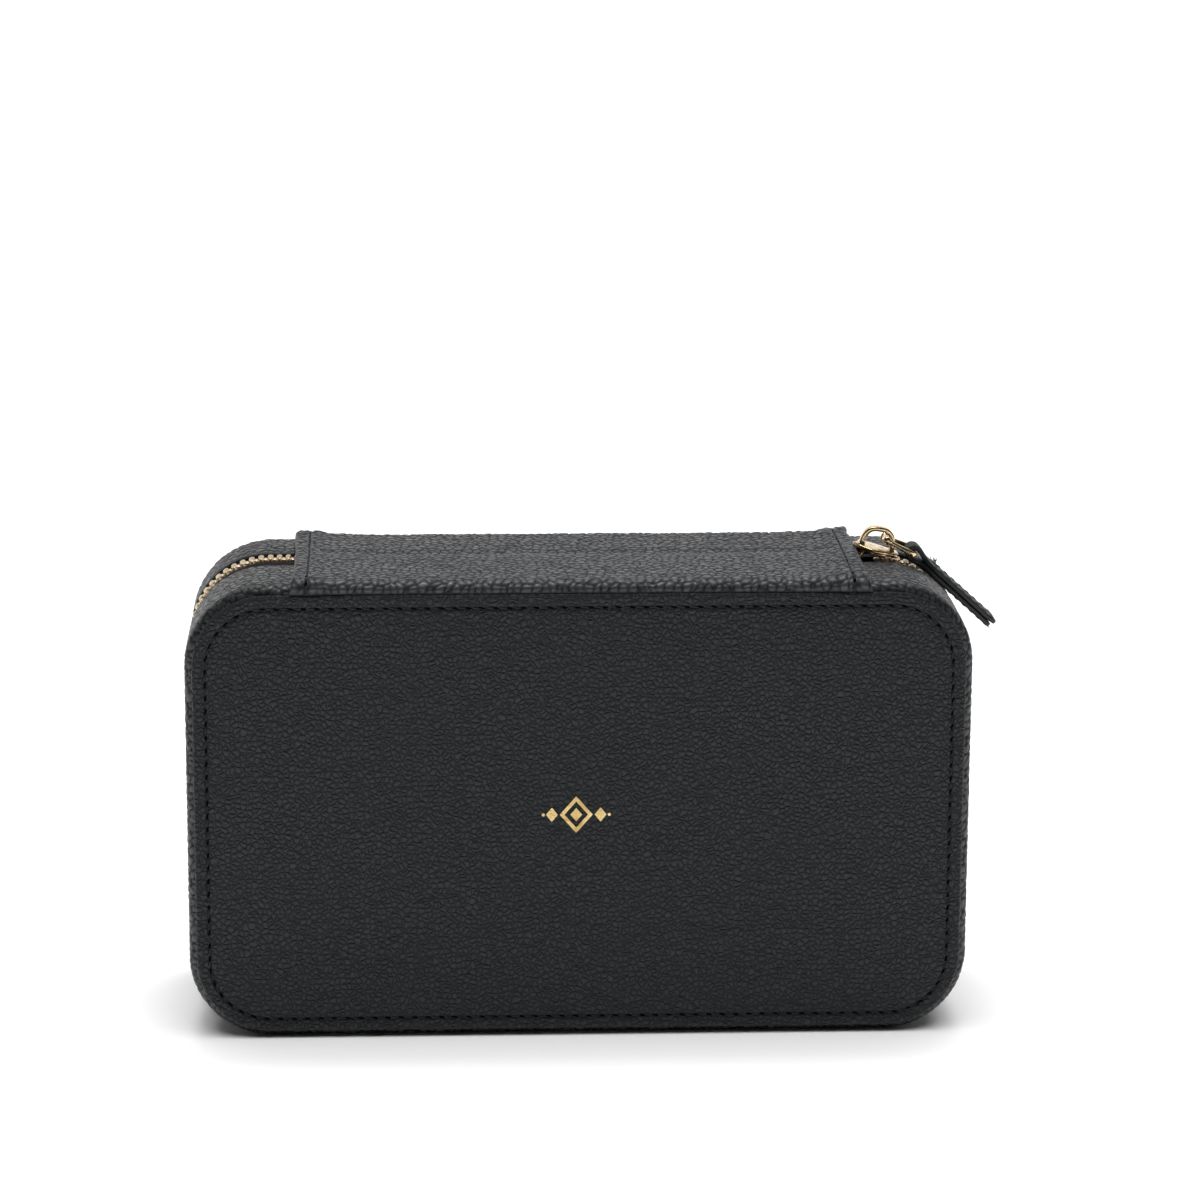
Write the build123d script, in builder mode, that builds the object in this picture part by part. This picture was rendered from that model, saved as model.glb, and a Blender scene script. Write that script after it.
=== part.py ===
from build123d import *
import math
import os

# Leather jewellery case, closed and standing on its long zip side.
# +Z is up, the face with the foil motif looks along -Y, X runs along the case.
# Every y below is measured from the zip plane, where lid and base meet, and every
# x from the middle of the case. CX and CY carry those two into the part's frame,
# whose origin is the middle of the whole part on the surface that it stands on.

os.makedirs("parts", exist_ok=True)

# ---------------------------------------------------------------- driving sizes
W = 200.0            # case, along X
H = 119.0            # case, along Z
R = 21.0             # outer corner
LID_D = 33.0         # zip plane to the lid's face
BASE_D = 27.0        # zip plane to the back
CX = -4.59
CY = 3.06            # zip plane in the part's frame

LIP = 6.8            # zip plane to the edge of each gusset
LEATHER = 1.2        # gusset leather
PANEL_T = 1.4        # face panel leather
PANEL_IN = 2.0       # face panel edge, inside the outline
SHOULDER = 3.0       # rounding of the gusset's shoulder
FLANGE = 9.0         # gusset leather turned in under the face panel
FOAM_GAP = 0.3
BOARD_T = 2.0        # face board
TAPE_T = 0.7         # zip tape
RIM_T = 1.8          # stiffening board round the walls
LINING_T = 0.8       # suede lining

TAPE_IN = LEATHER                     # tape lies against the gusset
RIM_IN = TAPE_IN + TAPE_T
LIN_IN = RIM_IN + RIM_T
CAV_IN = LIN_IN + LINING_T            # walls of the cavity

LID_FLANGE_Y = -(LID_D - PANEL_T)     # -31.6
LID_BOARD_Y = LID_FLANGE_Y + LEATHER  # -30.4
LID_FLOOR_Y = LID_BOARD_Y + BOARD_T   # -28.4
LID_CAV_Y = LID_FLOOR_Y + LINING_T    # -27.6
BASE_FLANGE_Y = BASE_D - PANEL_T      # 25.6
BASE_BOARD_Y = BASE_FLANGE_Y - LEATHER
BASE_FLOOR_Y = BASE_BOARD_Y - BOARD_T
BASE_CAV_Y = BASE_FLOOR_Y - LINING_T  # 21.6
RIM_EDGE = 7.4                        # rim boards stop here, lining turns over them

SPINE_X = 72.0       # half length of the hinge strip
SPINE_T = 1.2
SPINE_HEM = 6.0      # folded end
SPINE_HEM_T = 1.9
HINGE_LIFT = 2.2     # fold line above the gusset

TOOTH_PITCH = 2.3
TOOTH_W = 0.95
TOOTH_IN = 0.3       # teeth, below the outline
TOOTH_T = 2.4
TOOTH_REACH = 0.7    # past the zip plane
TAPE_EDGE = 2.95
TAPE_BACK = 14.0
TAPE_END_X = 62.0    # tape ends, under the strip
ZIP_START_X = 77.6   # first closed teeth, inside the slider
ZIP_END_X = -64.0

SLIDER_TILT = 15.0   # degrees clockwise round the corner
SLIDER_L = 12.0
SLIDER_O = (72.25, 19.14)  # origin of the slider's own frame: x, depth under the gusset
SLIDER_HALF = 4.6
PLATE_IN_V = 21.0    # underside of the slider's top plate, from the corner centre
PLATE_T = 1.2
BRIDGE_W = 2.6
BRIDGE_T = 1.3
WIRE_R = 0.75
LINK_A = (80.6, 4.5)      # link bar inside the bridge: x, height over the gusset
LINK_B = (87.6, 1.0)      # link bar inside the tab
TAB_ANGLE = 42.0          # below the horizontal
TAB_L = 28.0
TAB_LAYER = 1.15
FOLD_V = 2.015             # where the layers leave the fold
TAB_HALF = 4.5
TAB_ROOT_HALF = 2.8

N_NECK = 4
NECK_PITCH = 36.0
NECK_TOP = H - 15.0       # fold line of the necklace tabs
NECK_LEN = 16.0
ROLL_R = 6.3
ROLL_PITCH = 13.6
N_ROLLS = 7
ROLL_X = (-92.0, -35.0)
DIV_T = 2.0
DIV_LONG_X = -32.0
DIV_CROSS_Z = 60.0
DIV_SHORT_X = 32.0


def facing(y, x=0.0, z=0.0):
    """Plane square to Y at depth y, with its normal towards the lid's face."""
    return Plane(origin=(CX + x, CY + y, z), x_dir=(1, 0, 0), z_dir=(0, -1, 0))


MID = H / 2
ys = Axis.Y
saved = []


def save(name, builder):
    builder.part.label = name
    export_step(builder.part, f"parts/{name}.step")
    saved.append(name)


# ================================================================ lid
# gusset: one leather shell with a rounded shoulder and a turned-in flange
with BuildPart() as lid_gusset:
    with BuildSketch(facing(-LIP, z=MID)):
        RectangleRounded(W, H, R)
    extrude(amount=-LIP - LID_FLANGE_Y)
    fillet(lid_gusset.faces().sort_by(ys)[0].edges(), SHOULDER)
    offset(amount=-LEATHER, openings=lid_gusset.faces().sort_by(ys)[-1])
    with BuildSketch(facing(LID_BOARD_Y + 1, z=MID)):
        RectangleRounded(W - 2 * FLANGE, H - 2 * FLANGE, R - FLANGE)
    extrude(amount=LEATHER + 2, mode=Mode.SUBTRACT)
save("lid_gusset", lid_gusset)

# board behind the flange
with BuildPart() as lid_board:
    with BuildSketch(facing(LID_FLOOR_Y, z=MID)):
        RectangleRounded(W - 2 * LEATHER, H - 2 * LEATHER, R - LEATHER)
    extrude(amount=BOARD_T)
    fillet(lid_board.faces().sort_by(ys)[0].edges(), SHOULDER - LEATHER)
save("lid_board", lid_board)

# foam filling the flange's window, level with the flange
with BuildPart() as lid_face_foam:
    with BuildSketch(facing(LID_BOARD_Y, z=MID)):
        RectangleRounded(W - 2 * (FLANGE + FOAM_GAP), H - 2 * (FLANGE + FOAM_GAP), R - FLANGE - FOAM_GAP)
    extrude(amount=LEATHER)
save("lid_face_foam", lid_face_foam)

# face panel: stitched leather with a turned, rounded edge
with BuildPart() as lid_face_panel:
    with BuildSketch(facing(LID_FLANGE_Y, z=MID)):
        RectangleRounded(W - 2 * PANEL_IN, H - 2 * PANEL_IN, R - PANEL_IN)
    extrude(amount=PANEL_T)
    fillet(lid_face_panel.faces().sort_by(ys)[0].edges(), 0.7)
save("lid_face_panel", lid_face_panel)

# foil motif on the middle of the face: a ring-shaped lozenge between small lozenges
with BuildPart() as lid_foil_motif:
    with BuildSketch(facing(-LID_D, x=-1.0, z=MID)) as motif:
        Polygon((-4.2, 0), (0, -4.85), (4.2, 0), (0, 4.85), align=None)
        Polygon((-3.1, 0), (0, -3.6), (3.1, 0), (0, 3.6), align=None, mode=Mode.SUBTRACT)
        Polygon((-1.5, 0), (0, -1.75), (1.5, 0), (0, 1.75), align=None)
        for s in (-1, 1):
            Polygon((s * 6.2 - 1.5, 0), (s * 6.2, -1.9), (s * 6.2 + 1.5, 0), (s * 6.2, 1.9), align=None)
        with Locations((-8.4, 0), (8.4, 0)):
            Circle(0.4)
    extrude(amount=0.12)
save("lid_foil_motif", lid_foil_motif)

# board that stiffens the walls
with BuildPart() as lid_rim_board:
    with BuildSketch(facing(-RIM_EDGE, z=MID)):
        RectangleRounded(W - 2 * RIM_IN, H - 2 * RIM_IN, R - RIM_IN)
        RectangleRounded(W - 2 * LIN_IN, H - 2 * LIN_IN, R - LIN_IN, mode=Mode.SUBTRACT)
    extrude(amount=-RIM_EDGE - LID_FLOOR_Y)
save("lid_rim_board", lid_rim_board)

# suede lining: a tray with its lip turned over the rim board
with BuildPart() as lid_lining:
    with BuildSketch(facing(-RIM_EDGE, z=MID)):
        RectangleRounded(W - 2 * LIN_IN, H - 2 * LIN_IN, R - LIN_IN)
    extrude(amount=-RIM_EDGE - LID_FLOOR_Y)
    offset(amount=-LINING_T, openings=lid_lining.faces().sort_by(ys)[-1])
    with BuildSketch(facing(-RIM_EDGE + LINING_T, z=MID)):
        RectangleRounded(W - 2 * RIM_IN, H - 2 * RIM_IN, R - RIM_IN)
        RectangleRounded(W - 2 * CAV_IN, H - 2 * CAV_IN, R - CAV_IN, mode=Mode.SUBTRACT)
    extrude(amount=LINING_T)
save("lid_lining", lid_lining)

# ================================================================ base
with BuildPart() as base_gusset:
    with BuildSketch(facing(BASE_FLANGE_Y, z=MID)):
        RectangleRounded(W, H, R)
    extrude(amount=BASE_FLANGE_Y - LIP)
    fillet(base_gusset.faces().sort_by(ys)[-1].edges(), SHOULDER)
    offset(amount=-LEATHER, openings=base_gusset.faces().sort_by(ys)[0])
    with BuildSketch(facing(BASE_FLANGE_Y + 1, z=MID)):
        RectangleRounded(W - 2 * FLANGE, H - 2 * FLANGE, R - FLANGE)
    extrude(amount=LEATHER + 2, mode=Mode.SUBTRACT)
save("base_gusset", base_gusset)

with BuildPart() as base_board:
    with BuildSketch(facing(BASE_BOARD_Y, z=MID)):
        RectangleRounded(W - 2 * LEATHER, H - 2 * LEATHER, R - LEATHER)
    extrude(amount=BOARD_T)
    fillet(base_board.faces().sort_by(ys)[-1].edges(), SHOULDER - LEATHER)
save("base_board", base_board)

with BuildPart() as base_back_foam:
    with BuildSketch(facing(BASE_FLANGE_Y, z=MID)):
        RectangleRounded(W - 2 * (FLANGE + FOAM_GAP), H - 2 * (FLANGE + FOAM_GAP), R - FLANGE - FOAM_GAP)
    extrude(amount=LEATHER)
save("base_back_foam", base_back_foam)

with BuildPart() as base_back_panel:
    with BuildSketch(facing(BASE_D, z=MID)):
        RectangleRounded(W - 2 * PANEL_IN, H - 2 * PANEL_IN, R - PANEL_IN)
    extrude(amount=PANEL_T)
    fillet(base_back_panel.faces().sort_by(ys)[-1].edges(), 0.7)
save("base_back_panel", base_back_panel)

with BuildPart() as base_rim_board:
    with BuildSketch(facing(BASE_FLOOR_Y, z=MID)):
        RectangleRounded(W - 2 * RIM_IN, H - 2 * RIM_IN, R - RIM_IN)
        RectangleRounded(W - 2 * LIN_IN, H - 2 * LIN_IN, R - LIN_IN, mode=Mode.SUBTRACT)
    extrude(amount=BASE_FLOOR_Y - RIM_EDGE)
save("base_rim_board", base_rim_board)

with BuildPart() as base_lining:
    with BuildSketch(facing(BASE_FLOOR_Y, z=MID)):
        RectangleRounded(W - 2 * LIN_IN, H - 2 * LIN_IN, R - LIN_IN)
    extrude(amount=BASE_FLOOR_Y - RIM_EDGE)
    offset(amount=-LINING_T, openings=base_lining.faces().sort_by(ys)[0])
    with BuildSketch(facing(RIM_EDGE, z=MID)):
        RectangleRounded(W - 2 * RIM_IN, H - 2 * RIM_IN, R - RIM_IN)
        RectangleRounded(W - 2 * CAV_IN, H - 2 * CAV_IN, R - CAV_IN, mode=Mode.SUBTRACT)
    extrude(amount=LINING_T)
save("base_lining", base_lining)

# ================================================================ zip tape and teeth
# each tape runs from under one end of the hinge strip, round three sides, to the other
with BuildPart() as zip_tape_lid:
    with BuildSketch(facing(-TAPE_EDGE, z=MID)):
        RectangleRounded(W - 2 * TAPE_IN, H - 2 * TAPE_IN, R - TAPE_IN)
        RectangleRounded(W - 2 * RIM_IN, H - 2 * RIM_IN, R - RIM_IN, mode=Mode.SUBTRACT)
        with Locations((0, MID)):
            Rectangle(2 * TAPE_END_X, 20, mode=Mode.SUBTRACT)
    extrude(amount=TAPE_BACK - TAPE_EDGE)
save("zip_tape_lid", zip_tape_lid)

with BuildPart() as zip_tape_base:
    with BuildSketch(facing(TAPE_BACK, z=MID)):
        RectangleRounded(W - 2 * TAPE_IN, H - 2 * TAPE_IN, R - TAPE_IN)
        RectangleRounded(W - 2 * RIM_IN, H - 2 * RIM_IN, R - RIM_IN, mode=Mode.SUBTRACT)
        with Locations((0, MID)):
            Rectangle(2 * TAPE_END_X, 20, mode=Mode.SUBTRACT)
    extrude(amount=TAPE_BACK - TAPE_EDGE)
save("zip_tape_base", zip_tape_base)

# centre line of the chain, clockwise from the slider
TOOTH_MID = TOOTH_IN + TOOTH_T / 2
CHAIN_R = R - TOOTH_MID
arc = CHAIN_R * math.pi / 2
runs = [
    ("line", ZIP_START_X, H - TOOTH_MID, 0.0, W / 2 - R - ZIP_START_X),
    ("arc", W / 2 - R, H - R, 0.0, arc),
    ("line", W / 2 - TOOTH_MID, H - R, 90.0, H - 2 * R),
    ("arc", W / 2 - R, R, 90.0, arc),
    ("line", W / 2 - R, TOOTH_MID, 180.0, W - 2 * R),
    ("arc", -W / 2 + R, R, 180.0, arc),
    ("line", -W / 2 + TOOTH_MID, R, 270.0, H - 2 * R),
    ("arc", -W / 2 + R, H - R, 270.0, arc),
    ("line", -W / 2 + R, H - TOOTH_MID, 360.0, ZIP_END_X + W / 2 - R),
]
CHAIN_L = sum(r[4] for r in runs)


def chain(s):
    """Point and outward angle at length s along the chain."""
    for kind, x, z, a, length in runs:
        if s <= length:
            if kind == "line":
                t = math.radians(a)
                return x + s * math.cos(t), z - s * math.sin(t), a
            a += math.degrees(s / CHAIN_R)
            t = math.radians(a)
            return x + CHAIN_R * math.sin(t), z + CHAIN_R * math.cos(t), a
        s -= length
    raise ValueError(s)


N_TEETH = int((CHAIN_L - TOOTH_PITCH) / TOOTH_PITCH)
TOOTH_D = TAPE_EDGE + TOOTH_REACH


def tooth_places(start, y):
    out = []
    for k in range(N_TEETH):
        x, z, a = chain(start + k * TOOTH_PITCH)
        out.append(Location((CX + x, CY + y, z), (0, a, 0)))
    return out


with BuildPart() as zip_teeth_lid:
    with Locations(*tooth_places(0.3, -(TAPE_EDGE - TOOTH_REACH) / 2)):
        Box(TOOTH_W, TOOTH_D, TOOTH_T)
save("zip_teeth_lid", zip_teeth_lid)

with BuildPart() as zip_teeth_base:
    with Locations(*tooth_places(0.3 + TOOTH_PITCH / 2, (TAPE_EDGE - TOOTH_REACH) / 2)):
        Box(TOOTH_W, TOOTH_D, TOOTH_T)
save("zip_teeth_base", zip_teeth_base)

# end stops, one pair at each end of the chain, hidden by the hinge strip
STOPS = ((-63.6, H - TOOTH_MID), (68.8, H - TOOTH_MID))
with BuildPart() as zip_stops_lid:
    with Locations(*[(CX + x, CY - 1.5, z) for x, z in STOPS]):
        Box(2.2, 2.4, TOOTH_T)
save("zip_stops_lid", zip_stops_lid)

with BuildPart() as zip_stops_base:
    with Locations(*[(CX + x, CY + 1.5, z) for x, z in STOPS]):
        Box(2.2, 2.4, TOOTH_T)
save("zip_stops_base", zip_stops_base)

# ================================================================ hinge strip (spine)
# one leather strip over the long top side, divided at the fold line


def section(x):
    return Plane(origin=(CX + x, CY, H), x_dir=(0, 1, 0), z_dir=(1, 0, 0))


WRAP = math.radians(68)


def wrap_pts(flange_y, thick, sign):
    """Shoulder centre and the two ends of the wrapped edge."""
    cy = flange_y - sign * SHOULDER
    inner = (cy + sign * SHOULDER * math.sin(WRAP), -SHOULDER + SHOULDER * math.cos(WRAP))
    r = SHOULDER + thick
    outer = (cy + sign * r * math.sin(WRAP), -SHOULDER + r * math.cos(WRAP))
    h = WRAP / 2
    im = (cy + sign * SHOULDER * math.sin(h), -SHOULDER + SHOULDER * math.cos(h))
    om = (cy + sign * r * math.sin(h), -SHOULDER + r * math.cos(h))
    return cy, inner, outer, im, om


spine_parts = {}
for tag, flange_y, sign in (("lid", LID_FLANGE_Y, -1), ("base", BASE_FLANGE_Y, 1)):
    cy, inner, outer, im, om = wrap_pts(flange_y, SPINE_T, sign)
    cy2, inner2, outer2, im2, om2 = wrap_pts(flange_y, SPINE_HEM_T, sign)
    with BuildPart() as half:
        with BuildSketch(section(-SPINE_X)):
            with BuildLine():
                Line((0, 0), (cy, 0))
                ThreePointArc((cy, 0), im, inner)
                Line(inner, outer)
                ThreePointArc(outer, om, (cy, SPINE_T))
                Line((cy, SPINE_T), (0, SPINE_T))
                Line((0, SPINE_T), (0, 0))
            make_face()
        extrude(amount=2 * SPINE_X)
        for x0 in (-SPINE_X, SPINE_X - SPINE_HEM):
            with BuildSketch(section(x0)):
                with BuildLine():
                    Line((0, SPINE_T), (cy, SPINE_T))
                    ThreePointArc((cy, SPINE_T), om, outer)
                    Line(outer, outer2)
                    ThreePointArc(outer2, om2, (cy2, SPINE_HEM_T))
                    Line((cy2, SPINE_HEM_T), (0, SPINE_HEM_T))
                    Line((0, SPINE_HEM_T), (0, SPINE_T))
                make_face()
            extrude(amount=SPINE_HEM)
    save(f"spine_{tag}_half", half)

# lining that bridges the gap inside, under the strip
with BuildPart() as hinge_lining_lid_half:
    with BuildSketch(facing(-0.05, z=H - TAPE_IN - TAPE_T / 2)):
        Rectangle(2 * TAPE_END_X - 0.8, TAPE_T)
    extrude(amount=TAPE_BACK)
save("hinge_lining_lid_half", hinge_lining_lid_half)

with BuildPart() as hinge_lining_base_half:
    with BuildSketch(facing(0.05 + TAPE_BACK, z=H - TAPE_IN - TAPE_T / 2)):
        Rectangle(2 * TAPE_END_X - 0.8, TAPE_T)
    extrude(amount=TAPE_BACK)
save("hinge_lining_base_half", hinge_lining_base_half)

# ================================================================ slider, link and tab
ct, st = math.cos(math.radians(SLIDER_TILT)), math.sin(math.radians(SLIDER_TILT))
# u runs along the slider, v up through it; its nose is lifted by the pull of the tab
SLIDE = Plane(origin=(CX + SLIDER_O[0], CY, H - SLIDER_O[1]), x_dir=(ct, 0, -st), z_dir=(0, -1, 0))


def slide_at(y):
    return Plane(origin=(CX + SLIDER_O[0], CY + y, H - SLIDER_O[1]), x_dir=(ct, 0, -st), z_dir=(0, -1, 0))


V0 = PLATE_IN_V
V1 = PLATE_IN_V + PLATE_T
VB1, VB0 = 15.6, 14.4
hl = SLIDER_L / 2
plate_plane = Plane(
    origin=SLIDE.origin + SLIDE.y_dir * V0, x_dir=(ct, 0, -st), z_dir=(st, 0, ct)
)
under_plane = Plane(
    origin=SLIDE.origin + SLIDE.y_dir * VB0, x_dir=(ct, 0, -st), z_dir=(st, 0, ct)
)

with BuildPart() as slider_body:
    # top plate: rounded nose towards the open side, narrower tail
    with BuildSketch(plate_plane):
        with BuildLine():
            Polyline((-hl + 0.6, -0.9), (-hl + 2.1, -2.9), (-1.4, -SLIDER_HALF), (1.8, -SLIDER_HALF), (hl, -2.7),
                     (hl, 2.7), (1.8, SLIDER_HALF), (-1.4, SLIDER_HALF), (-hl + 2.1, 2.9), (-hl + 0.6, 0.9), close=True)
        make_face()
    extrude(amount=PLATE_T)
    with BuildSketch(under_plane):
        with BuildLine():
            Polyline((-hl + 0.6, -0.9), (-hl + 2.1, -2.9), (-1.4, -SLIDER_HALF), (1.8, -SLIDER_HALF), (hl, -2.7),
                     (hl, 2.7), (1.8, SLIDER_HALF), (-1.4, SLIDER_HALF), (-hl + 2.1, 2.9), (-hl + 0.6, 0.9), close=True)
        make_face()
    extrude(amount=VB1 - VB0)
    # diamond post between the plates
    with BuildSketch(slide_at(0.9)):
        with Locations((-hl + 2.5, (VB0 + V1) / 2)):
            Rectangle(2.2, V1 - VB0 - 0.8)
    extrude(amount=1.8)
    # side flanges that steer the tape
    for y in (SLIDER_HALF, -3.7):
        with BuildSketch(slide_at(y)):
            with Locations((0.2, V0 - 0.3)):
                Rectangle(3.6, 0.9)
            with Locations((0.2, VB1 + 0.4)):
                Rectangle(3.6, 1.0)
        extrude(amount=0.9)
save("slider_body", slider_body)

with BuildPart() as slider_bridge:
    with BuildSketch(slide_at(BRIDGE_W / 2)):
        with BuildLine():
            FilletPolyline((-3.8, V1 + 0.02), (-3.75, 25.0), (-2.3, 26.85), (1.7, 27.15), (3.45, 25.9), (4.05, V1 + 0.02), radius=1.1)
        trace(line_width=BRIDGE_T)
    extrude(amount=BRIDGE_W)
    split(bisect_by=Plane(origin=SLIDE.origin + SLIDE.y_dir * V1, z_dir=(st, 0, ct)), keep=Keep.TOP)
save("slider_bridge", slider_bridge)

ax, az = LINK_A[0], H + LINK_A[1]
bx, bz = LINK_B[0], H + LINK_B[1]
BALL_Y, LEG_Y = 2.7, 4.35
link_l = math.hypot(bx - ax, bz - az)
lx, lz = (bx - ax) / link_l, (bz - az) / link_l
LINK = Plane(origin=(CX + ax + WIRE_R * lz, CY, az - WIRE_R * lx), x_dir=(lx, 0, lz), z_dir=(-lz, 0, lx))
with BuildPart() as puller_link:
    with BuildSketch(LINK):
        Polygon((-WIRE_R, -3.3), (link_l + WIRE_R, -5.2), (link_l + WIRE_R, 5.2), (-WIRE_R, 3.3), align=None)
        Polygon((WIRE_R, -2.05), (link_l - WIRE_R, -3.5), (link_l - WIRE_R, 3.5), (WIRE_R, 2.05), align=None, mode=Mode.SUBTRACT)
    extrude(amount=2 * WIRE_R)
    chamfer(puller_link.edges(), 0.35)
    with Locations(Plane(origin=(CX + ax, CY, az), x_dir=(0, 1, 0), z_dir=(lx, 0, lz))):
        with Locations((-BALL_Y, 0, 0), (BALL_Y, 0, 0)):
            Sphere(1.15)
save("puller_link", puller_link)

# tab: one leather strip folded round the link's bar, two layers sewn together
ca, sa = math.cos(math.radians(TAB_ANGLE)), math.sin(math.radians(TAB_ANGLE))
TAB = Plane(origin=(CX + bx, CY, bz), x_dir=(ca, 0, -sa), z_dir=(0, -1, 0))


def tab_at(y):
    return Plane(origin=(CX + bx, CY + y, bz), x_dir=(ca, 0, -sa), z_dir=(0, -1, 0))


fi = WIRE_R + 0.25           # inside of the fold
fo = fi + TAB_LAYER          # outside of the fold
with BuildPart() as puller_tab:
    with BuildSketch(tab_at(TAB_HALF)):
        with BuildLine():
            Line((6.2, TAB_LAYER), (TAB_L, TAB_LAYER))
            Line((TAB_L, TAB_LAYER), (TAB_L, -TAB_LAYER))
            Line((TAB_L, -TAB_LAYER), (6.2, -TAB_LAYER))
            Line((6.2, -TAB_LAYER), (0.75, -FOLD_V))
            ThreePointArc((0.75, -FOLD_V), (-fo, 0), (0.75, FOLD_V))
            Line((0.75, FOLD_V), (6.2, TAB_LAYER))
        make_face()
        with BuildLine():
            Line((0.35, 0.937), (3.8, 0.04))
            Line((3.8, 0.04), (3.8, -0.04))
            Line((3.8, -0.04), (0.35, -0.937))
            ThreePointArc((0.35, -0.937), (-fi, 0), (0.35, 0.937))
        make_face(mode=Mode.SUBTRACT)
    extrude(amount=2 * TAB_HALF)
    # narrower where it goes through the link
    waist = 3.2
    for y in (-TAB_ROOT_HALF, TAB_HALF + 0.5):
        with BuildSketch(tab_at(y)):
            with Locations((waist - 8, 0)):
                Rectangle(16, 12)
        extrude(amount=TAB_HALF + 0.5 - TAB_ROOT_HALF, mode=Mode.SUBTRACT)
save("puller_tab", puller_tab)

# ================================================================ inside the lid
NECK_Y0 = LID_CAV_Y                 # strip lies on the lining
NECK_Y1 = NECK_Y0 + 1.2
TAB_BACK = NECK_Y1 + 0.2
TAB_FRONT = TAB_BACK + 1.2
NECK_XS = [(i - (N_NECK - 1) / 2) * NECK_PITCH for i in range(N_NECK)]
FOLD_Y = (TAB_BACK + TAB_FRONT) / 2
SNAP_Z = NECK_TOP - 12.0

with BuildPart() as necklace_strip:
    with BuildSketch(facing(NECK_Y1, z=H - 22.5)):
        RectangleRounded(146, 23, 4)
    extrude(amount=1.2)
save("necklace_strip", necklace_strip)

with BuildPart() as necklace_tab_roots:
    with BuildSketch(facing(TAB_FRONT, z=NECK_TOP + 2.0)):
        with Locations(*[(x, 0) for x in NECK_XS]):
            Rectangle(10, 2.4)
    extrude(amount=TAB_FRONT - NECK_Y1)
save("necklace_tab_roots", necklace_tab_roots)

with BuildPart() as snap_studs:
    with BuildSketch(facing(NECK_Y1 + 0.8, z=SNAP_Z)):
        with Locations(*[(x, 0) for x in NECK_XS]):
            Circle(1.5)
    extrude(amount=0.8)
save("snap_studs", snap_studs)

for i, x in enumerate(NECK_XS):
    with BuildPart() as neck_tab:
        with BuildSketch(facing(TAB_FRONT, x=x, z=0)):
            with Locations((0, NECK_TOP - NECK_LEN / 2)):
                Rectangle(10, NECK_LEN)
        extrude(amount=TAB_FRONT - TAB_BACK)
        fillet(neck_tab.edges().filter_by(Axis.X).group_by(Axis.Z)[-1], 0.59)
        fillet(neck_tab.edges().filter_by(Axis.Y).group_by(Axis.Z)[0], 3.5)
        with BuildSketch(facing(TAB_BACK + 0.8, x=x, z=SNAP_Z)):
            Circle(1.9)
        extrude(amount=0.8, mode=Mode.SUBTRACT)
    save(f"necklace_tab_{i + 1}", neck_tab)
    with BuildPart() as cap:
        with BuildSketch(facing(TAB_FRONT + 1.0, x=x, z=SNAP_Z)):
            Circle(3.4)
        extrude(amount=1.0)
        fillet(cap.faces().sort_by(ys)[-1].edges(), 0.6)
    save(f"snap_cap_{i + 1}", cap)

# gathered pocket: floor seam, two side walls and a front sheet, open at the top
PK_X, PK_Z0, PK_Z1 = 86.0, 12.0, 50.0
PK_GAP, PK_T = 4.8, 1.0
with BuildPart() as necklace_pocket:
    with BuildSketch(facing(LID_CAV_Y + PK_GAP + PK_T, z=0)):
        with Locations((0, (PK_Z0 + PK_Z1) / 2)):
            Rectangle(2 * PK_X, PK_Z1 - PK_Z0)
    extrude(amount=PK_GAP + PK_T)
    with BuildSketch(facing(LID_CAV_Y + PK_GAP, z=0)):
        with Locations((0, (PK_Z0 + PK_Z1) / 2 + PK_T)):
            Rectangle(2 * (PK_X - PK_T), PK_Z1 - PK_Z0)
    extrude(amount=PK_GAP + 1, mode=Mode.SUBTRACT)
    fillet(necklace_pocket.faces().sort_by(ys)[-1].edges().filter_by(Axis.Z), 0.8)
save("necklace_pocket", necklace_pocket)

with BuildPart() as pocket_elastic:
    with BuildSketch(facing(LID_CAV_Y + PK_GAP + PK_T + 0.8, z=PK_Z1 - 3)):
        Rectangle(2 * PK_X - 2, 5)
    extrude(amount=0.8)
save("pocket_elastic", pocket_elastic)

# ================================================================ inside the base
with BuildPart() as ring_rolls:
    with BuildSketch(Plane(origin=(CX + ROLL_X[0], CY + BASE_CAV_Y - ROLL_R, MID), x_dir=(0, 1, 0), z_dir=(1, 0, 0))):
        with GridLocations(1, ROLL_PITCH, 1, N_ROLLS):
            Circle(ROLL_R)
    extrude(amount=ROLL_X[1] - ROLL_X[0])
save("ring_rolls", ring_rolls)

DIV_Y0 = 8.6
CAV_HALF_X = W / 2 - CAV_IN
with BuildPart() as divider_long:
    with BuildSketch(facing(BASE_CAV_Y, x=DIV_LONG_X, z=MID)):
        Rectangle(DIV_T, H - 2 * CAV_IN)
    extrude(amount=BASE_CAV_Y - DIV_Y0)
    fillet(divider_long.faces().sort_by(ys)[0].edges().filter_by(Axis.Z), 0.9)
save("divider_long", divider_long)

with BuildPart() as divider_cross:
    with BuildSketch(facing(BASE_CAV_Y, z=DIV_CROSS_Z)):
        with Locations(((DIV_LONG_X + DIV_T / 2 + CAV_HALF_X) / 2, 0)):
            Rectangle(CAV_HALF_X - DIV_LONG_X - DIV_T / 2, DIV_T)
    extrude(amount=BASE_CAV_Y - DIV_Y0)
    fillet(divider_cross.faces().sort_by(ys)[0].edges().filter_by(Axis.X), 0.9)
save("divider_cross", divider_cross)

with BuildPart() as divider_short:
    with BuildSketch(facing(BASE_CAV_Y, x=DIV_SHORT_X, z=(CAV_IN + DIV_CROSS_Z - DIV_T / 2) / 2)):
        Rectangle(DIV_T, DIV_CROSS_Z - DIV_T / 2 - CAV_IN)
    extrude(amount=BASE_CAV_Y - DIV_Y0)
    fillet(divider_short.faces().sort_by(ys)[0].edges().filter_by(Axis.Z), 0.9)
save("divider_short", divider_short)

print(len(saved), "nodes; teeth a side", N_TEETH, "chain", round(CHAIN_L, 1))
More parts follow.
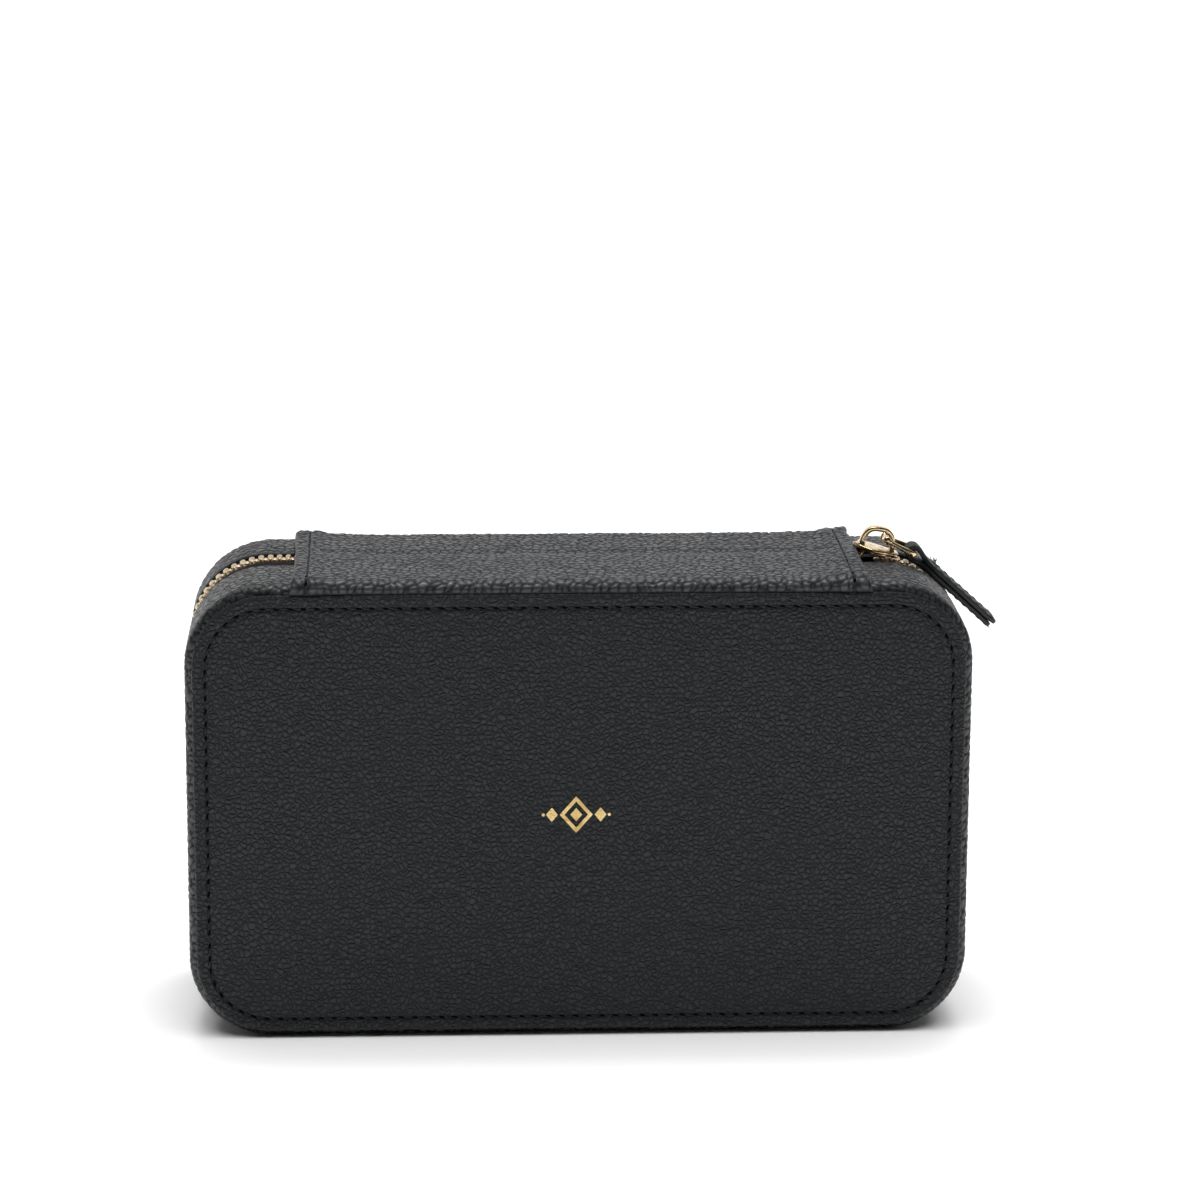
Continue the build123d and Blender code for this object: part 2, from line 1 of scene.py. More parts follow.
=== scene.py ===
"""Looks for the leather jewellery case: leather, zip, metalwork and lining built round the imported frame."""
import math
import random

import bmesh
import bpy
import numpy as np
from mathutils import Matrix, Vector, noise


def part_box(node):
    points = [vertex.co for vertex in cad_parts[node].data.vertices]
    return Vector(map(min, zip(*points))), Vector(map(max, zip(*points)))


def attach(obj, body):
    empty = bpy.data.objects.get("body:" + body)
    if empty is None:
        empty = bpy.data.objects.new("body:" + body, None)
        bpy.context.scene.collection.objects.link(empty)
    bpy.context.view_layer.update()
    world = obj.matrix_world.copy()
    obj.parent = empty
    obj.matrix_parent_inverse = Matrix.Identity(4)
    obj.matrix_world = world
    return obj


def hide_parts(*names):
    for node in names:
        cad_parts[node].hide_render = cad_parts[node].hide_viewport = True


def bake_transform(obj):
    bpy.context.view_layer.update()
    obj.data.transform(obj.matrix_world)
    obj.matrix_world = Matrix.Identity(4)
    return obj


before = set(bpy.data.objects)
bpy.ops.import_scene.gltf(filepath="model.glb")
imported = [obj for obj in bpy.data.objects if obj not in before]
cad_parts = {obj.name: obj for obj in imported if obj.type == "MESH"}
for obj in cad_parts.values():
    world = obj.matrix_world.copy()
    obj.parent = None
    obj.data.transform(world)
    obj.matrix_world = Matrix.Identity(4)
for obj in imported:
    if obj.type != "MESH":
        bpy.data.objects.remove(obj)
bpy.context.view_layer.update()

# ------------------------------------------------------------------ the frame's own sizes
g0, g1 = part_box("lid_gusset")
b0, b1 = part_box("base_back_panel")
CX = (g0.x + g1.x) / 2 * 1000
H = g1.z * 1000
W = (g1.x - g0.x) * 1000
BASE_D = 27.0
LID_D = 33.0
CY = b1.y * 1000 - BASE_D
R = 21.0
LIP = 6.8
SHOULDER = 3.0
PANEL_IN = 2.0
PANEL_T = 1.4
MM = 0.001
rnd = random.Random(11)


def P(x, y, z):
    """Case millimetres (x from the middle, y from the zip plane) to frame metres."""
    return ((CX + x) * MM, (CY + y) * MM, z * MM)


def clamp(v, a, b):
    return max(a, min(b, v))


def smooth(a, b, v):
    t = clamp((v - a) / (b - a), 0, 1)
    return t * t * (3 - 2 * t)


# ------------------------------------------------------------------ mesh helpers
def make(name, verts, faces, mat, body=None, smooth_shade=True, merge=0.0, flip=False):
    me = bpy.data.meshes.new(name)
    me.from_pydata([tuple(v) for v in verts], [], [tuple(f) for f in faces])
    bm = bmesh.new()
    bm.from_mesh(me)
    if merge:
        bmesh.ops.remove_doubles(bm, verts=bm.verts, dist=merge)
    bmesh.ops.recalc_face_normals(bm, faces=bm.faces)
    if flip:
        bmesh.ops.reverse_faces(bm, faces=bm.faces)
    for f in bm.faces:
        f.smooth = smooth_shade
    bm.to_mesh(me)
    bm.free()
    ob = bpy.data.objects.new(name, me)
    bpy.context.scene.collection.objects.link(ob)
    me.materials.append(mat)
    if body:
        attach(ob, body)
    return ob


def outline(nx=80, nz=40, nc=20):
    """Samples round the case's outline, clockwise from the upper left: point and outward normal."""
    out = []
    a, b = W / 2 - R, H - R
    for k in range(nx):
        out.append((-a + 2 * a * k / nx, H, 0, 1))
    for k in range(nc):
        t = math.pi / 2 * k / nc
        out.append((a + R * math.sin(t), b + R * math.cos(t), math.sin(t), math.cos(t)))
    for k in range(nz):
        out.append((W / 2, b - (b - R) * k / nz, 1, 0))
    for k in range(nc):
        t = math.pi / 2 * (1 + k / nc)
        out.append((a + R * math.sin(t), R + R * math.cos(t), math.sin(t), math.cos(t)))
    for k in range(nx):
        out.append((a - 2 * a * k / nx, 0, 0, -1))
    for k in range(nc):
        t = math.pi / 2 * (2 + k / nc)
        out.append((-a + R * math.sin(t), R + R * math.cos(t), math.sin(t), math.cos(t)))
    for k in range(nz):
        out.append((-W / 2, R + (b - R) * k / nz, -1, 0))
    for k in range(nc):
        t = math.pi / 2 * (3 + k / nc)
        out.append((-a + R * math.sin(t), b + R * math.cos(t), math.sin(t), math.cos(t)))
    return out


def chain_pt(s, r_in):
    """Point, outward normal and angle at length s along an inset line, clockwise from x=0 on the top."""
    a, r = W / 2 - R, R - r_in
    arc = r * math.pi / 2
    v = H - 2 * R
    runs = [a, arc, v, arc, 2 * a, arc, v, arc, a]
    total = sum(runs)
    s %= total
    starts = [(0, H - r_in), None, (W / 2 - r_in, H - R), None, (a, r_in), None, (-W / 2 + r_in, R), None, (-a, H - r_in)]
    centres = {1: (a, H - R), 3: (a, R), 5: (-a, R), 7: (-a, H - R)}
    ang = [0, 0, 90, 90, 180, 180, 270, 270, 360]
    for k, length in enumerate(runs):
        if s <= length:
            t = math.radians(ang[k])
            if k in centres:
                t += s / r
                cx, cz = centres[k]
                return cx + r * math.sin(t), cz + r * math.cos(t), math.sin(t), math.cos(t), t
            x, z = starts[k]
            return x + s * math.cos(t), z - s * math.sin(t), math.sin(t), math.cos(t), t
        s -= length
    return 0, H - r_in, 0, 1, 0


def chain_len(r_in):
    return 2 * (W - 2 * R) + 2 * (H - 2 * R) + 2 * math.pi * (R - r_in)


def ring(path, profile, closed_path=True, closed_profile=True, dy=None):
    """Sweeps a profile of (inset, y) round the outline."""
    verts, faces = [], []
    m = len(profile)
    for (x, z, nx, nz) in path:
        for (i, y) in profile:
            yy = y + (dy(x, z, i) if dy else 0)
            verts.append(P(x - i * nx, yy, z - i * nz))
    n = len(path)
    for a in range(n if closed_path else n - 1):
        b = (a + 1) % n
        for k in range(m if closed_profile else m - 1):
            l = (k + 1) % m
            faces.append((a * m + k, b * m + k, b * m + l, a * m + l))
    if not closed_path and closed_profile:
        faces.append(tuple(range(m - 1, -1, -1)))
        faces.append(tuple((n - 1) * m + k for k in range(m)))
    return verts, faces


def arc_pts(cx, cy, r, a0, a1, n):
    return [(cx + r * math.cos(math.radians(a0 + (a1 - a0) * k / n)), cy + r * math.sin(math.radians(a0 + (a1 - a0) * k / n))) for k in range(n + 1)]


def tube(points, ups, section, caps=True, closed=False):
    """Sweeps section(k, n) -> [(across, up)] along points, with a given up vector at each."""
    verts, faces = [], []
    pts = [Vector(p) for p in points]
    n = len(pts)
    m = None
    for k in range(n):
        if closed:
            t = (pts[(k + 1) % n] - pts[k - 1]).normalized()
        else:
            t = (pts[min(k + 1, n - 1)] - pts[max(k - 1, 0)]).normalized()
        up = Vector(ups[k] if isinstance(ups, list) else ups)
        up = (up - t * up.dot(t)).normalized()
        side = t.cross(up)
        sec = section(k, n)
        m = len(sec)
        for (a, u) in sec:
            verts.append(pts[k] + side * a + up * u)
    for k in range(n if closed else n - 1):
        b = (k + 1) % n
        for l in range(m):
            q = (l + 1) % m
            faces.append((k * m + l, b * m + l, b * m + q, k * m + q))
    if caps and not closed:
        faces.append(tuple(range(m)))
        faces.append(tuple((n - 1) * m + l for l in range(m)))
    return verts, faces


def rrect(hw, hh, r, n=4):
    """Rounded rectangle section, counter-clockwise."""
    out = []
    for cx, cy, a0 in ((hw - r, hh - r, 0), (-hw + r, hh - r, 90), (-hw + r, -hh + r, 180), (hw - r, -hh + r, 270)):
        for k in range(n + 1):
            t = math.radians(a0 + 90 * k / n)
            out.append((cx + r * math.cos(t), cy + r * math.sin(t)))
    return out


def circle(r, n=12, ry=None):
    ry = ry or r
    return [(r * math.cos(2 * math.pi * k / n), ry * math.sin(2 * math.pi * k / n)) for k in range(n)]


def join(parts):
    verts, faces = [], []
    for v, f in parts:
        o = len(verts)
        verts += list(v)
        faces += [tuple(i + o for i in q) for q in f]
    return verts, faces


def catmull(pts, per=8, closed=False):
    out = []
    n = len(pts)
    pts = [Vector(p) for p in pts]
    for k in range(n if closed else n - 1):
        p0 = pts[k - 1] if (k > 0 or closed) else pts[0] * 2 - pts[1]
        p1, p2 = pts[k], pts[(k + 1) % n]
        p3 = pts[(k + 2) % n] if (k + 2 < n or closed) else pts[-1] * 2 - pts[-2]
        for j in range(per):
            t = j / per
            out.append(0.5 * ((2 * p1) + (-p0 + p2) * t + (2 * p0 - 5 * p1 + 4 * p2 - p3) * t * t + (-p0 + 3 * p1 - 3 * p2 + p3) * t ** 3))
    if not closed:
        out.append(pts[-1])
    return out


def ellipsoid(c, ax, ay, az, n=10, m=6):
    """Ellipsoid from three half-axis vectors."""
    c, ax, ay, az = Vector(c), Vector(ax), Vector(ay), Vector(az)
    verts = [c + az]
    for j in range(1, m):
        t = math.pi * j / m
        for k in range(n):
            p = 2 * math.pi * k / n
            verts.append(c + ax * (math.sin(t) * math.cos(p)) + ay * (math.sin(t) * math.sin(p)) + az * math.cos(t))
    verts.append(c - az)
    faces = [(0, 1 + k, 1 + (k + 1) % n) for k in range(n)]
    for j in range(m - 2):
        for k in range(n):
            a, b = 1 + j * n + k, 1 + j * n + (k + 1) % n
            faces.append((a, a + n, b + n, b))
    last = len(verts) - 1
    o = 1 + (m - 2) * n
    faces += [(last, o + (k + 1) % n, o + k) for k in range(n)]
    return verts, faces


# ------------------------------------------------------------------ materials
class Mat:
    def __init__(self, name):
        self.m = bpy.data.materials.new(name)
        self.m.use_nodes = True
        self.t = self.m.node_tree
        self.b = self.t.nodes["Principled BSDF"]
        self.co = self.t.nodes.new("ShaderNodeTexCoord").outputs["Object"]

    def n(self, kind, props=None, **inputs):
        nd = self.t.nodes.new(kind)
        for k, v in (props or {}).items():
            setattr(nd, k, v)
        for k, v in inputs.items():
            k = k.replace("_", " ")
            sock = nd.inputs[int(k)] if k.isdigit() else nd.inputs[k]
            if isinstance(v, bpy.types.NodeSocket):
                self.t.links.new(v, sock)
            else:
                sock.default_value = v
        return nd

    def math(self, op, a, b=0.0, c=0.0, clampit=False):
        nd = self.t.nodes.new("ShaderNodeMath")
        nd.operation = op
        nd.use_clamp = clampit
        for k, v in enumerate((a, b, c)):
            if isinstance(v, bpy.types.NodeSocket):
                self.t.links.new(v, nd.inputs[k])
            else:
                nd.inputs[k].default_value = v
        return nd.outputs[0]

    def ramp(self, fac, stops, interp="LINEAR"):
        nd = self.t.nodes.new("ShaderNodeValToRGB")
        nd.color_ramp.interpolation = interp
        el = nd.color_ramp.elements
        while len(el) < len(stops):
            el.new(0.5)
        for e, (p, c) in zip(el, stops):
            e.position = p
            e.color = (*c, 1) if len(c) == 3 else c
        self.t.links.new(fac, nd.inputs["Fac"])
        return nd.outputs["Color"]

    def mix(self, fac, a, b, mode="MIX"):
        nd = self.t.nodes.new("ShaderNodeMix")
        nd.data_type = "RGBA"
        nd.blend_type = mode
        for k, v in ((0, fac), (6, a), (7, b)):
            if isinstance(v, bpy.types.NodeSocket):
                self.t.links.new(v, nd.inputs[k])
            elif k == 0:
                nd.inputs[k].default_value = v
            else:
                nd.inputs[k].default_value = (*v, 1)
        return nd.outputs[2]

    def set(self, **inputs):
        for k, v in inputs.items():
            sock = self.b.inputs[k.replace("_", " ")]
            if isinstance(v, bpy.types.NodeSocket):
                self.t.links.new(v, sock)
            else:
                sock.default_value = v

    def bump(self, height, distance, strength=1.0, normal=None):
        nd = self.t.nodes.new("ShaderNodeBump")
        nd.inputs["Strength"].default_value = strength
        nd.inputs["Distance"].default_value = distance
        self.t.links.new(height, nd.inputs["Height"])
        if normal is not None:
            self.t.links.new(normal, nd.inputs["Normal"])
        return nd.outputs["Normal"]


def leather(name, cell=1.45, depth=0.00034, tone=1.0, rough=0.42, stretch=(1, 1, 1), relief=1.0, grain=False):
    """Pebbled leather: domed grains parted by creases, with painted shade darkening the creases, finer grain in them,
    uneven dye.
    """
    m = Mat(name)
    co = m.n("ShaderNodeMapping", Vector=m.co, Scale=stretch).outputs[0]
    warp = m.n("ShaderNodeTexNoise", Vector=co, Scale=420.0, Detail=2.0, Roughness=0.5)
    off = m.n("ShaderNodeVectorMath", {"operation": "SCALE"}, Vector=m.n("ShaderNodeVectorMath", {"operation": "SUBTRACT"}, **{"0": warp.outputs["Color"], "1": (0.5, 0.5, 0.5)}).outputs[0], Scale=0.0014)
    cow = m.n("ShaderNodeVectorMath", {"operation": "ADD"}, **{"0": co, "1": off.outputs[0]}).outputs[0]
    big = m.n("ShaderNodeTexVoronoi", {"feature": "DISTANCE_TO_EDGE"}, Vector=cow, Scale=1000.0 / cell, Randomness=0.95).outputs["Distance"]
    cells = m.n("ShaderNodeTexVoronoi", {"feature": "F1"}, Vector=cow, Scale=1000.0 / cell, Randomness=0.95)
    fine = m.n("ShaderNodeTexVoronoi", {"feature": "DISTANCE_TO_EDGE"}, Vector=cow, Scale=2300.0 / cell, Randomness=1.0).outputs["Distance"]
    micro = m.n("ShaderNodeTexNoise", Vector=co, Scale=5200.0, Detail=3.0, Roughness=0.6).outputs["Fac"]
    broad = m.n("ShaderNodeTexNoise", Vector=co, Scale=34.0, Detail=3.0, Roughness=0.55).outputs["Fac"]
    dome = m.ramp(big, [(0.0, (0, 0, 0)), (0.06, (0.30,) * 3), (0.16, (0.70,) * 3), (0.42, (1, 1, 1))], "EASE")
    # with grain, the mesh's stored grain height sets the colour: painted shade in its creases
    if grain:
        dome = m.ramp(m.n("ShaderNodeAttribute", {"attribute_name": "grain"}).outputs["Fac"], [(0.0, (0, 0, 0)), (0.45, (0.32,) * 3), (0.8, (0.8,) * 3), (1.0, (1, 1, 1))])
    fined = m.ramp(fine, [(0.0, (0, 0, 0)), (0.16, (0.7,) * 3), (0.5, (1, 1, 1))], "EASE")
    h = m.math("ADD", m.math("MULTIPLY", dome, 0.85 * relief), m.math("MULTIPLY", fined, 0.14))
    h = m.math("ADD", h, m.math("MULTIPLY", m.math("MULTIPLY", cells.outputs["Color"], 0.35 * relief), dome))
    h = m.math("ADD", h, m.math("MULTIPLY", micro, 0.06))
    # the crease colour is painted shade, far darker than the grain tops
    crease_shade = (0.0026 * tone, 0.0036 * tone, 0.0048 * tone)
    top = (0.0096 * tone, 0.0124 * tone, 0.0160 * tone)
    if grain:
        top = (0.032 * tone, 0.033 * tone, 0.035 * tone)
    col = m.mix(dome, crease_shade, top)
    col = m.mix(m.math("MULTIPLY", m.ramp(broad, [(0.3, (0, 0, 0)), (0.7, (1, 1, 1))]), 0.3), col, (0.0124 * tone, 0.0154 * tone, 0.0192 * tone))
    rr = m.math("ADD", m.math("MULTIPLY", dome, -0.22), rough + 0.20)
    rr = m.math("ADD", rr, m.math("MULTIPLY", m.math("SUBTRACT", micro, 0.5), 0.22))
    rr = m.math("ADD", rr, m.math("MULTIPLY", m.math("SUBTRACT", broad, 0.5), 0.12), clampit=True)
    m.set(Base_Color=col, Roughness=rr, Normal=m.bump(h, depth))
    m.b.inputs["Specular IOR Level"].default_value = 0.46
    if grain:
        m.set(Specular_IOR_Level=m.math("ADD", m.math("MULTIPLY", dome, 0.62), 0.10))
    return m.m


def edge_paint(name):
    """Painted, burnished cut edge of leather."""
    m = Mat(name)
    nz = m.n("ShaderNodeTexNoise", Vector=m.co, Scale=900.0, Detail=4.0, Roughness=0.6).outputs["Fac"]
    lay = m.n("ShaderNodeTexNoise", Vector=m.n("ShaderNodeMapping", Vector=m.co, Scale=(1, 1, 6)).outputs[0], Scale=260.0, Detail=2.0).outputs["Fac"]
    col = m.ramp(nz, [(0.3, (0.006, 0.0065, 0.007)), (0.75, (0.016, 0.017, 0.018))])
    m.set(Base_Color=col, Roughness=m.math("ADD", m.math("MULTIPLY", nz, 0.3), 0.28), Normal=m.bump(m.math("ADD", m.math("MULTIPLY", nz, 0.5), lay), 0.00008))
    return m.m


def gold(name, base=(0.84, 0.66, 0.43), dark=(0.58, 0.42, 0.24), rough=0.15):
    """Light gold plating, with handling marks and a faint tarnish in random patches."""
    m = Mat(name)
    big = m.n("ShaderNodeTexNoise", Vector=m.co, Scale=260.0, Detail=3.0, Roughness=0.6).outputs["Fac"]
    fine = m.n("ShaderNodeTexNoise", Vector=m.n("ShaderNodeMapping", Vector=m.co, Rotation=(0.3, 0.5, 0.2), Scale=(1, 9, 1)).outputs[0], Scale=2600.0, Detail=4.0, Roughness=0.65).outputs["Fac"]
    pit = m.n("ShaderNodeTexVoronoi", {"feature": "F1"}, Vector=m.co, Scale=2400.0).outputs["Distance"]
    col = m.mix(m.ramp(big, [(0.38, (0, 0, 0)), (0.68, (1, 1, 1))]), dark, base)
    rr = m.math("ADD", m.math("MULTIPLY", big, 0.12), m.math("MULTIPLY", fine, 0.14))
    rr = m.math("ADD", rr, rough - 0.1, clampit=True)
    h = m.math("ADD", m.math("MULTIPLY", fine, 0.7), m.math("MULTIPLY", pit, 0.3))
    m.set(Base_Color=col, Metallic=1.0, Roughness=rr, Normal=m.bump(h, 0.00003, 0.55))
    return m.m


def foil(name):
    """Hot-stamped thin foil with a grain of its own in the bump, speckled with gaps, most along that grain's creases.
    """
    m = Mat(name)
    cells = m.n("ShaderNodeTexVoronoi", {"feature": "DISTANCE_TO_EDGE"}, Vector=m.co, Scale=1300.0).outputs["Distance"]
    nz = m.n("ShaderNodeTexNoise", Vector=m.co, Scale=2600.0, Detail=5.0, Roughness=0.7).outputs["Fac"]
    big = m.n("ShaderNodeTexNoise", Vector=m.co, Scale=380.0, Detail=2.0).outputs["Fac"]
    gap = m.ramp(m.math("ADD", nz, m.math("MULTIPLY", cells, 0.5)), [(0.30, (0, 0, 0)), (0.40, (1, 1, 1))])
    col = m.mix(m.ramp(big, [(0.3, (0, 0, 0)), (0.7, (1, 1, 1))]), (0.62, 0.42, 0.15), (0.86, 0.66, 0.32))
    col = m.mix(gap, (0.16, 0.11, 0.05), col)
    rr = m.math("ADD", m.math("MULTIPLY", nz, 0.35), 0.20, clampit=True)
    h = m.math("ADD", m.math("MULTIPLY", m.ramp(cells, [(0, (0, 0, 0)), (0.3, (1, 1, 1))]), 0.8), m.math("MULTIPLY", nz, 0.4))
    m.set(Base_Color=col, Metallic=0.92, Roughness=rr, Normal=m.bump(h, 0.00010, 0.9))
    return m.m


def thread(name, tone=1.0):
    """Twisted waxed thread."""
    m = Mat(name)
    tw = m.n("ShaderNodeTexWave", {"wave_type": "BANDS", "bands_direction": "DIAGONAL"}, Vector=m.co, Scale=1500.0, Distortion=1.5, Detail=1.0).outputs["Fac"]
    fz = m.n("ShaderNodeTexNoise", Vector=m.co, Scale=6000.0, Detail=3.0).outputs["Fac"]
    col = m.mix(tw, (0.006 * tone, 0.0065 * tone, 0.007 * tone), (0.017 * tone, 0.018 * tone, 0.019 * tone))
    m.set(Base_Color=col, Roughness=m.math("ADD", m.math("MULTIPLY", fz, 0.25), 0.42), Normal=m.bump(m.math("ADD", tw, m.math("MULTIPLY", fz, 0.4)), 0.00006))
    m.b.inputs["Specular IOR Level"].default_value = 0.35
    return m.m


def hole(name):
    """Awl hole: a near-black, dull patch, painted shade of the hole and of the thread's shadow in it."""
    m = Mat(name)
    nz = m.n("ShaderNodeTexNoise", Vector=m.co, Scale=4000.0, Detail=3.0).outputs["Fac"]
    m.set(Base_Color=m.ramp(nz, [(0.3, (0.0006, 0.0006, 0.0007)), (0.8, (0.003, 0.003, 0.0032))]), Roughness=m.math("ADD", m.math("MULTIPLY", nz, 0.1), 0.88), Normal=m.bump(nz, 0.00005))
    m.b.inputs["Specular IOR Level"].default_value = 0.05
    return m.m


def tape(name):
    """Herringbone-woven zip tape."""
    m = Mat(name)
    w1 = m.n("ShaderNodeTexWave", {"wave_type": "BANDS", "bands_direction": "DIAGONAL"}, Vector=m.co, Scale=900.0, Distortion=0.6, Detail=1.0).outputs["Fac"]
    w2 = m.n("ShaderNodeTexWave", {"wave_type": "BANDS", "bands_direction": "Y"}, Vector=m.co, Scale=1300.0, Distortion=0.4).outputs["Fac"]
    fz = m.n("ShaderNodeTexNoise", Vector=m.co, Scale=7000.0, Detail=3.0).outputs["Fac"]
    h = m.math("ADD", m.math("MULTIPLY", w1, w2), m.math("MULTIPLY", fz, 0.3))
    m.set(Base_Color=m.mix(h, (0.0022, 0.0022, 0.0025), (0.0085, 0.0086, 0.0092)), Roughness=m.math("ADD", m.math("MULTIPLY", fz, 0.2), 0.7), Normal=m.bump(h, 0.00010))
    m.b.inputs["Specular IOR Level"].default_value = 0.2
    m.b.inputs["Sheen Weight"].default_value = 0.15
    return m.m


def suede(name, base=(0.060, 0.061, 0.066), light=(0.095, 0.096, 0.103)):
    """Brushed microfibre suede, with nap brushed both ways."""
    m = Mat(name)
    nap = m.n("ShaderNodeTexNoise", Vector=m.co, Scale=30.0, Detail=4.0, Roughness=0.6, Distortion=0.6).outputs["Fac"]
    fib = m.n("ShaderNodeTexNoise", Vector=m.n("ShaderNodeMapping", Vector=m.co, Scale=(1, 1, 2.2)).outputs[0], Scale=2400.0, Detail=5.0, Roughness=0.75).outputs["Fac"]
    col = m.mix(m.ramp(nap, [(0.36, (0, 0, 0)), (0.62, (1, 1, 1))]), base, light)
    col = m.mix(m.math("MULTIPLY", fib, 0.35), col, tuple(c * 0.45 for c in base))
    m.set(Base_Color=col, Roughness=m.math("ADD", m.math("MULTIPLY", fib, 0.1), 0.86), Normal=m.bump(fib, 0.00012))
    m.b.inputs["Specular IOR Level"].default_value = 0.15
    m.b.inputs["Sheen Weight"].default_value = 0.45
    m.b.inputs["Sheen Roughness"].default_value = 0.4
    return m.m


def plain_fibre(name, a, b, scale, rough=0.9):
    """Board or foam: pressed fibre or open cells."""
    m = Mat(name)
    nz = m.n("ShaderNodeTexNoise", Vector=m.co, Scale=scale, Detail=5.0, Roughness=0.7).outputs["Fac"]
    vz = m.n("ShaderNodeTexVoronoi", Vector=m.co, Scale=scale * 1.7).outputs["Distance"]
    m.set(Base_Color=m.ramp(nz, [(0.3, a), (0.7, b)]), Roughness=m.math("ADD", m.math("MULTIPLY", nz, 0.1), rough - 0.05), Normal=m.bump(m.math("ADD", nz, vz), 0.0001))
    return m.m


# the gusset's leather is the spine's at a lower tone: painted shade for its side walls
M_SIDE = leather("pebbled_leather", depth=0.00014, tone=0.76, relief=0.3, rough=0.36, grain=True)
M_FACE = leather("face_leather", cell=1.35, depth=0.00030, tone=0.62, rough=0.44)
M_SPINE = leather("spine_leather", cell=1.5, depth=0.00014, relief=0.3, rough=0.36, grain=True)
M_TAB = leather("tab_leather", cell=1.0, depth=0.00014, tone=0.6, rough=0.46)
M_EDGE = edge_paint("edge_paint")
M_GOLD = gold("gold_plate", base=(0.92, 0.73, 0.46), dark=(0.70, 0.51, 0.28))
M_TEETH = gold("gold_teeth", base=(0.90, 0.74, 0.52), dark=(0.72, 0.55, 0.34), rough=0.26)
M_FOIL = foil("gold_foil")
M_THREAD = thread("black_thread")
M_HOLE_SHADE = hole("painted_hole_shade")
M_TAPE = tape("zip_tape")
M_SUEDE = suede("suede")
M_SUEDE2 = suede("suede_trim", (0.072, 0.073, 0.078), (0.11, 0.111, 0.118))
M_BOARD = plain_fibre("grey_board", (0.30, 0.27, 0.23), (0.46, 0.42, 0.36), 700.0)
M_FOAM = plain_fibre("foam_sheet", (0.52, 0.52, 0.50), (0.68, 0.68, 0.66), 1100.0)
M_ELASTIC = tape("ruched_elastic")

for n, mat in (("lid_board", M_BOARD), ("base_board", M_BOARD), ("lid_rim_board", M_BOARD), ("base_rim_board", M_BOARD),
               ("lid_face_foam", M_FOAM), ("base_back_foam", M_FOAM), ("lid_lining", M_SUEDE), ("base_lining", M_SUEDE),
               ("divider_long", M_SUEDE2), ("divider_cross", M_SUEDE2), ("divider_short", M_SUEDE2), ("necklace_strip", M_SUEDE2),
               ("necklace_tab_roots", M_SUEDE2), ("snap_studs", M_GOLD), ("zip_stops_lid", M_TEETH), ("zip_stops_base", M_TEETH),
               ("necklace_tab_1", M_SUEDE2), ("necklace_tab_2", M_SUEDE2), ("necklace_tab_3", M_SUEDE2), ("necklace_tab_4", M_SUEDE2),
               ("snap_cap_1", M_GOLD), ("snap_cap_2", M_GOLD), ("snap_cap_3", M_GOLD), ("snap_cap_4", M_GOLD),
               ("ring_rolls", M_SUEDE), ("necklace_pocket", M_SUEDE2), ("pocket_elastic", M_ELASTIC),
               ("slider_body", M_GOLD), ("slider_bridge", M_GOLD), ("puller_link", M_GOLD)):
    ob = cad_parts[n]
    if not ob.material_slots:
        ob.data.materials.append(mat)
    for s in ob.material_slots:
        s.material = mat


# ------------------------------------------------------------------ grain in the mesh itself
def pebbles(u, v, pitch=2.0, seed=3):
    """Height 0-1 of domed grains over a surface, for arrays of surface coordinates in mm."""
    u, v = np.asarray(u, float), np.asarray(v, float)
    uu = u / pitch + 0.22 * np.sin(v * 0.9 + u * 0.31) + 0.10 * np.sin(u * 0.17 + 2.0)
    vv = v / (pitch * 1.22) + 0.22 * np.sin(u * 0.8 - v * 0.27) + 0.10 * np.sin(v * 0.21)
    iu, iv = np.floor(uu).astype(np.int64), np.floor(vv).astype(np.int64)
    f1 = np.full(u.shape, 9.0)
    f2 = np.full(u.shape, 9.0)
    tone = np.zeros(u.shape)
    for du in (-2, -1, 0, 1, 2):
        for dv in (-2, -1, 0, 1, 2):
            cu, cv = iu + du, iv + dv
            k = (cu * 73856093) ^ (cv * 19349663) ^ (seed * 83492791)
            k = (k ^ (k >> 13)) * 1274126177 & 0x7FFFFFFF
            a = (k % 1009) / 1009.0
            b = ((k // 1009) % 1013) / 1013.0
            d = np.hypot(cu + 0.12 + 0.76 * a + 0.5 * (cv % 2) - 0.25 - uu, cv + 0.12 + 0.76 * b - vv)
            near = d < f1
            f2 = np.where(near, f1, np.minimum(f2, d))
            tone = np.where(near, b, tone)
            f1 = np.where(near, d, f1)
    e = np.clip((f2 - f1) / 0.52, 0, 1)
    return (1 - (1 - e) ** 2.4) * (0.74 + 0.26 * tone)


def relief(ob, coords, keep, amount, pitch=2.0, seed=3):
    """Moves vertices along their normals by the grain's height."""
    me = ob.data
    n = len(me.vertices)
    co = np.empty(n * 3)
    me.vertices.foreach_get("co", co)
    co = co.reshape(-1, 3)
    nor = np.empty(n * 3)
    me.vertices.foreach_get("normal", nor)
    nor = nor.reshape(-1, 3)
    g = pebbles(coords[:, 0], coords[:, 1], pitch, seed)
    # the grain height is also stored for the leather shader, which paints shade into the creases from it
    at = me.attributes.new("grain", "FLOAT", "POINT")
    at.data.foreach_set("value", (g * keep + 0.55 * (1 - keep)).astype(np.float32))
    h = (g - 0.82) * amount * MM
    co += nor * (h * keep)[:, None]
    me.vertices.foreach_set("co", co.reshape(-1))
    me.update()


# ------------------------------------------------------------------ gussets
PATH = outline()
FINE = outline(nx=350, nz=170, nc=72)


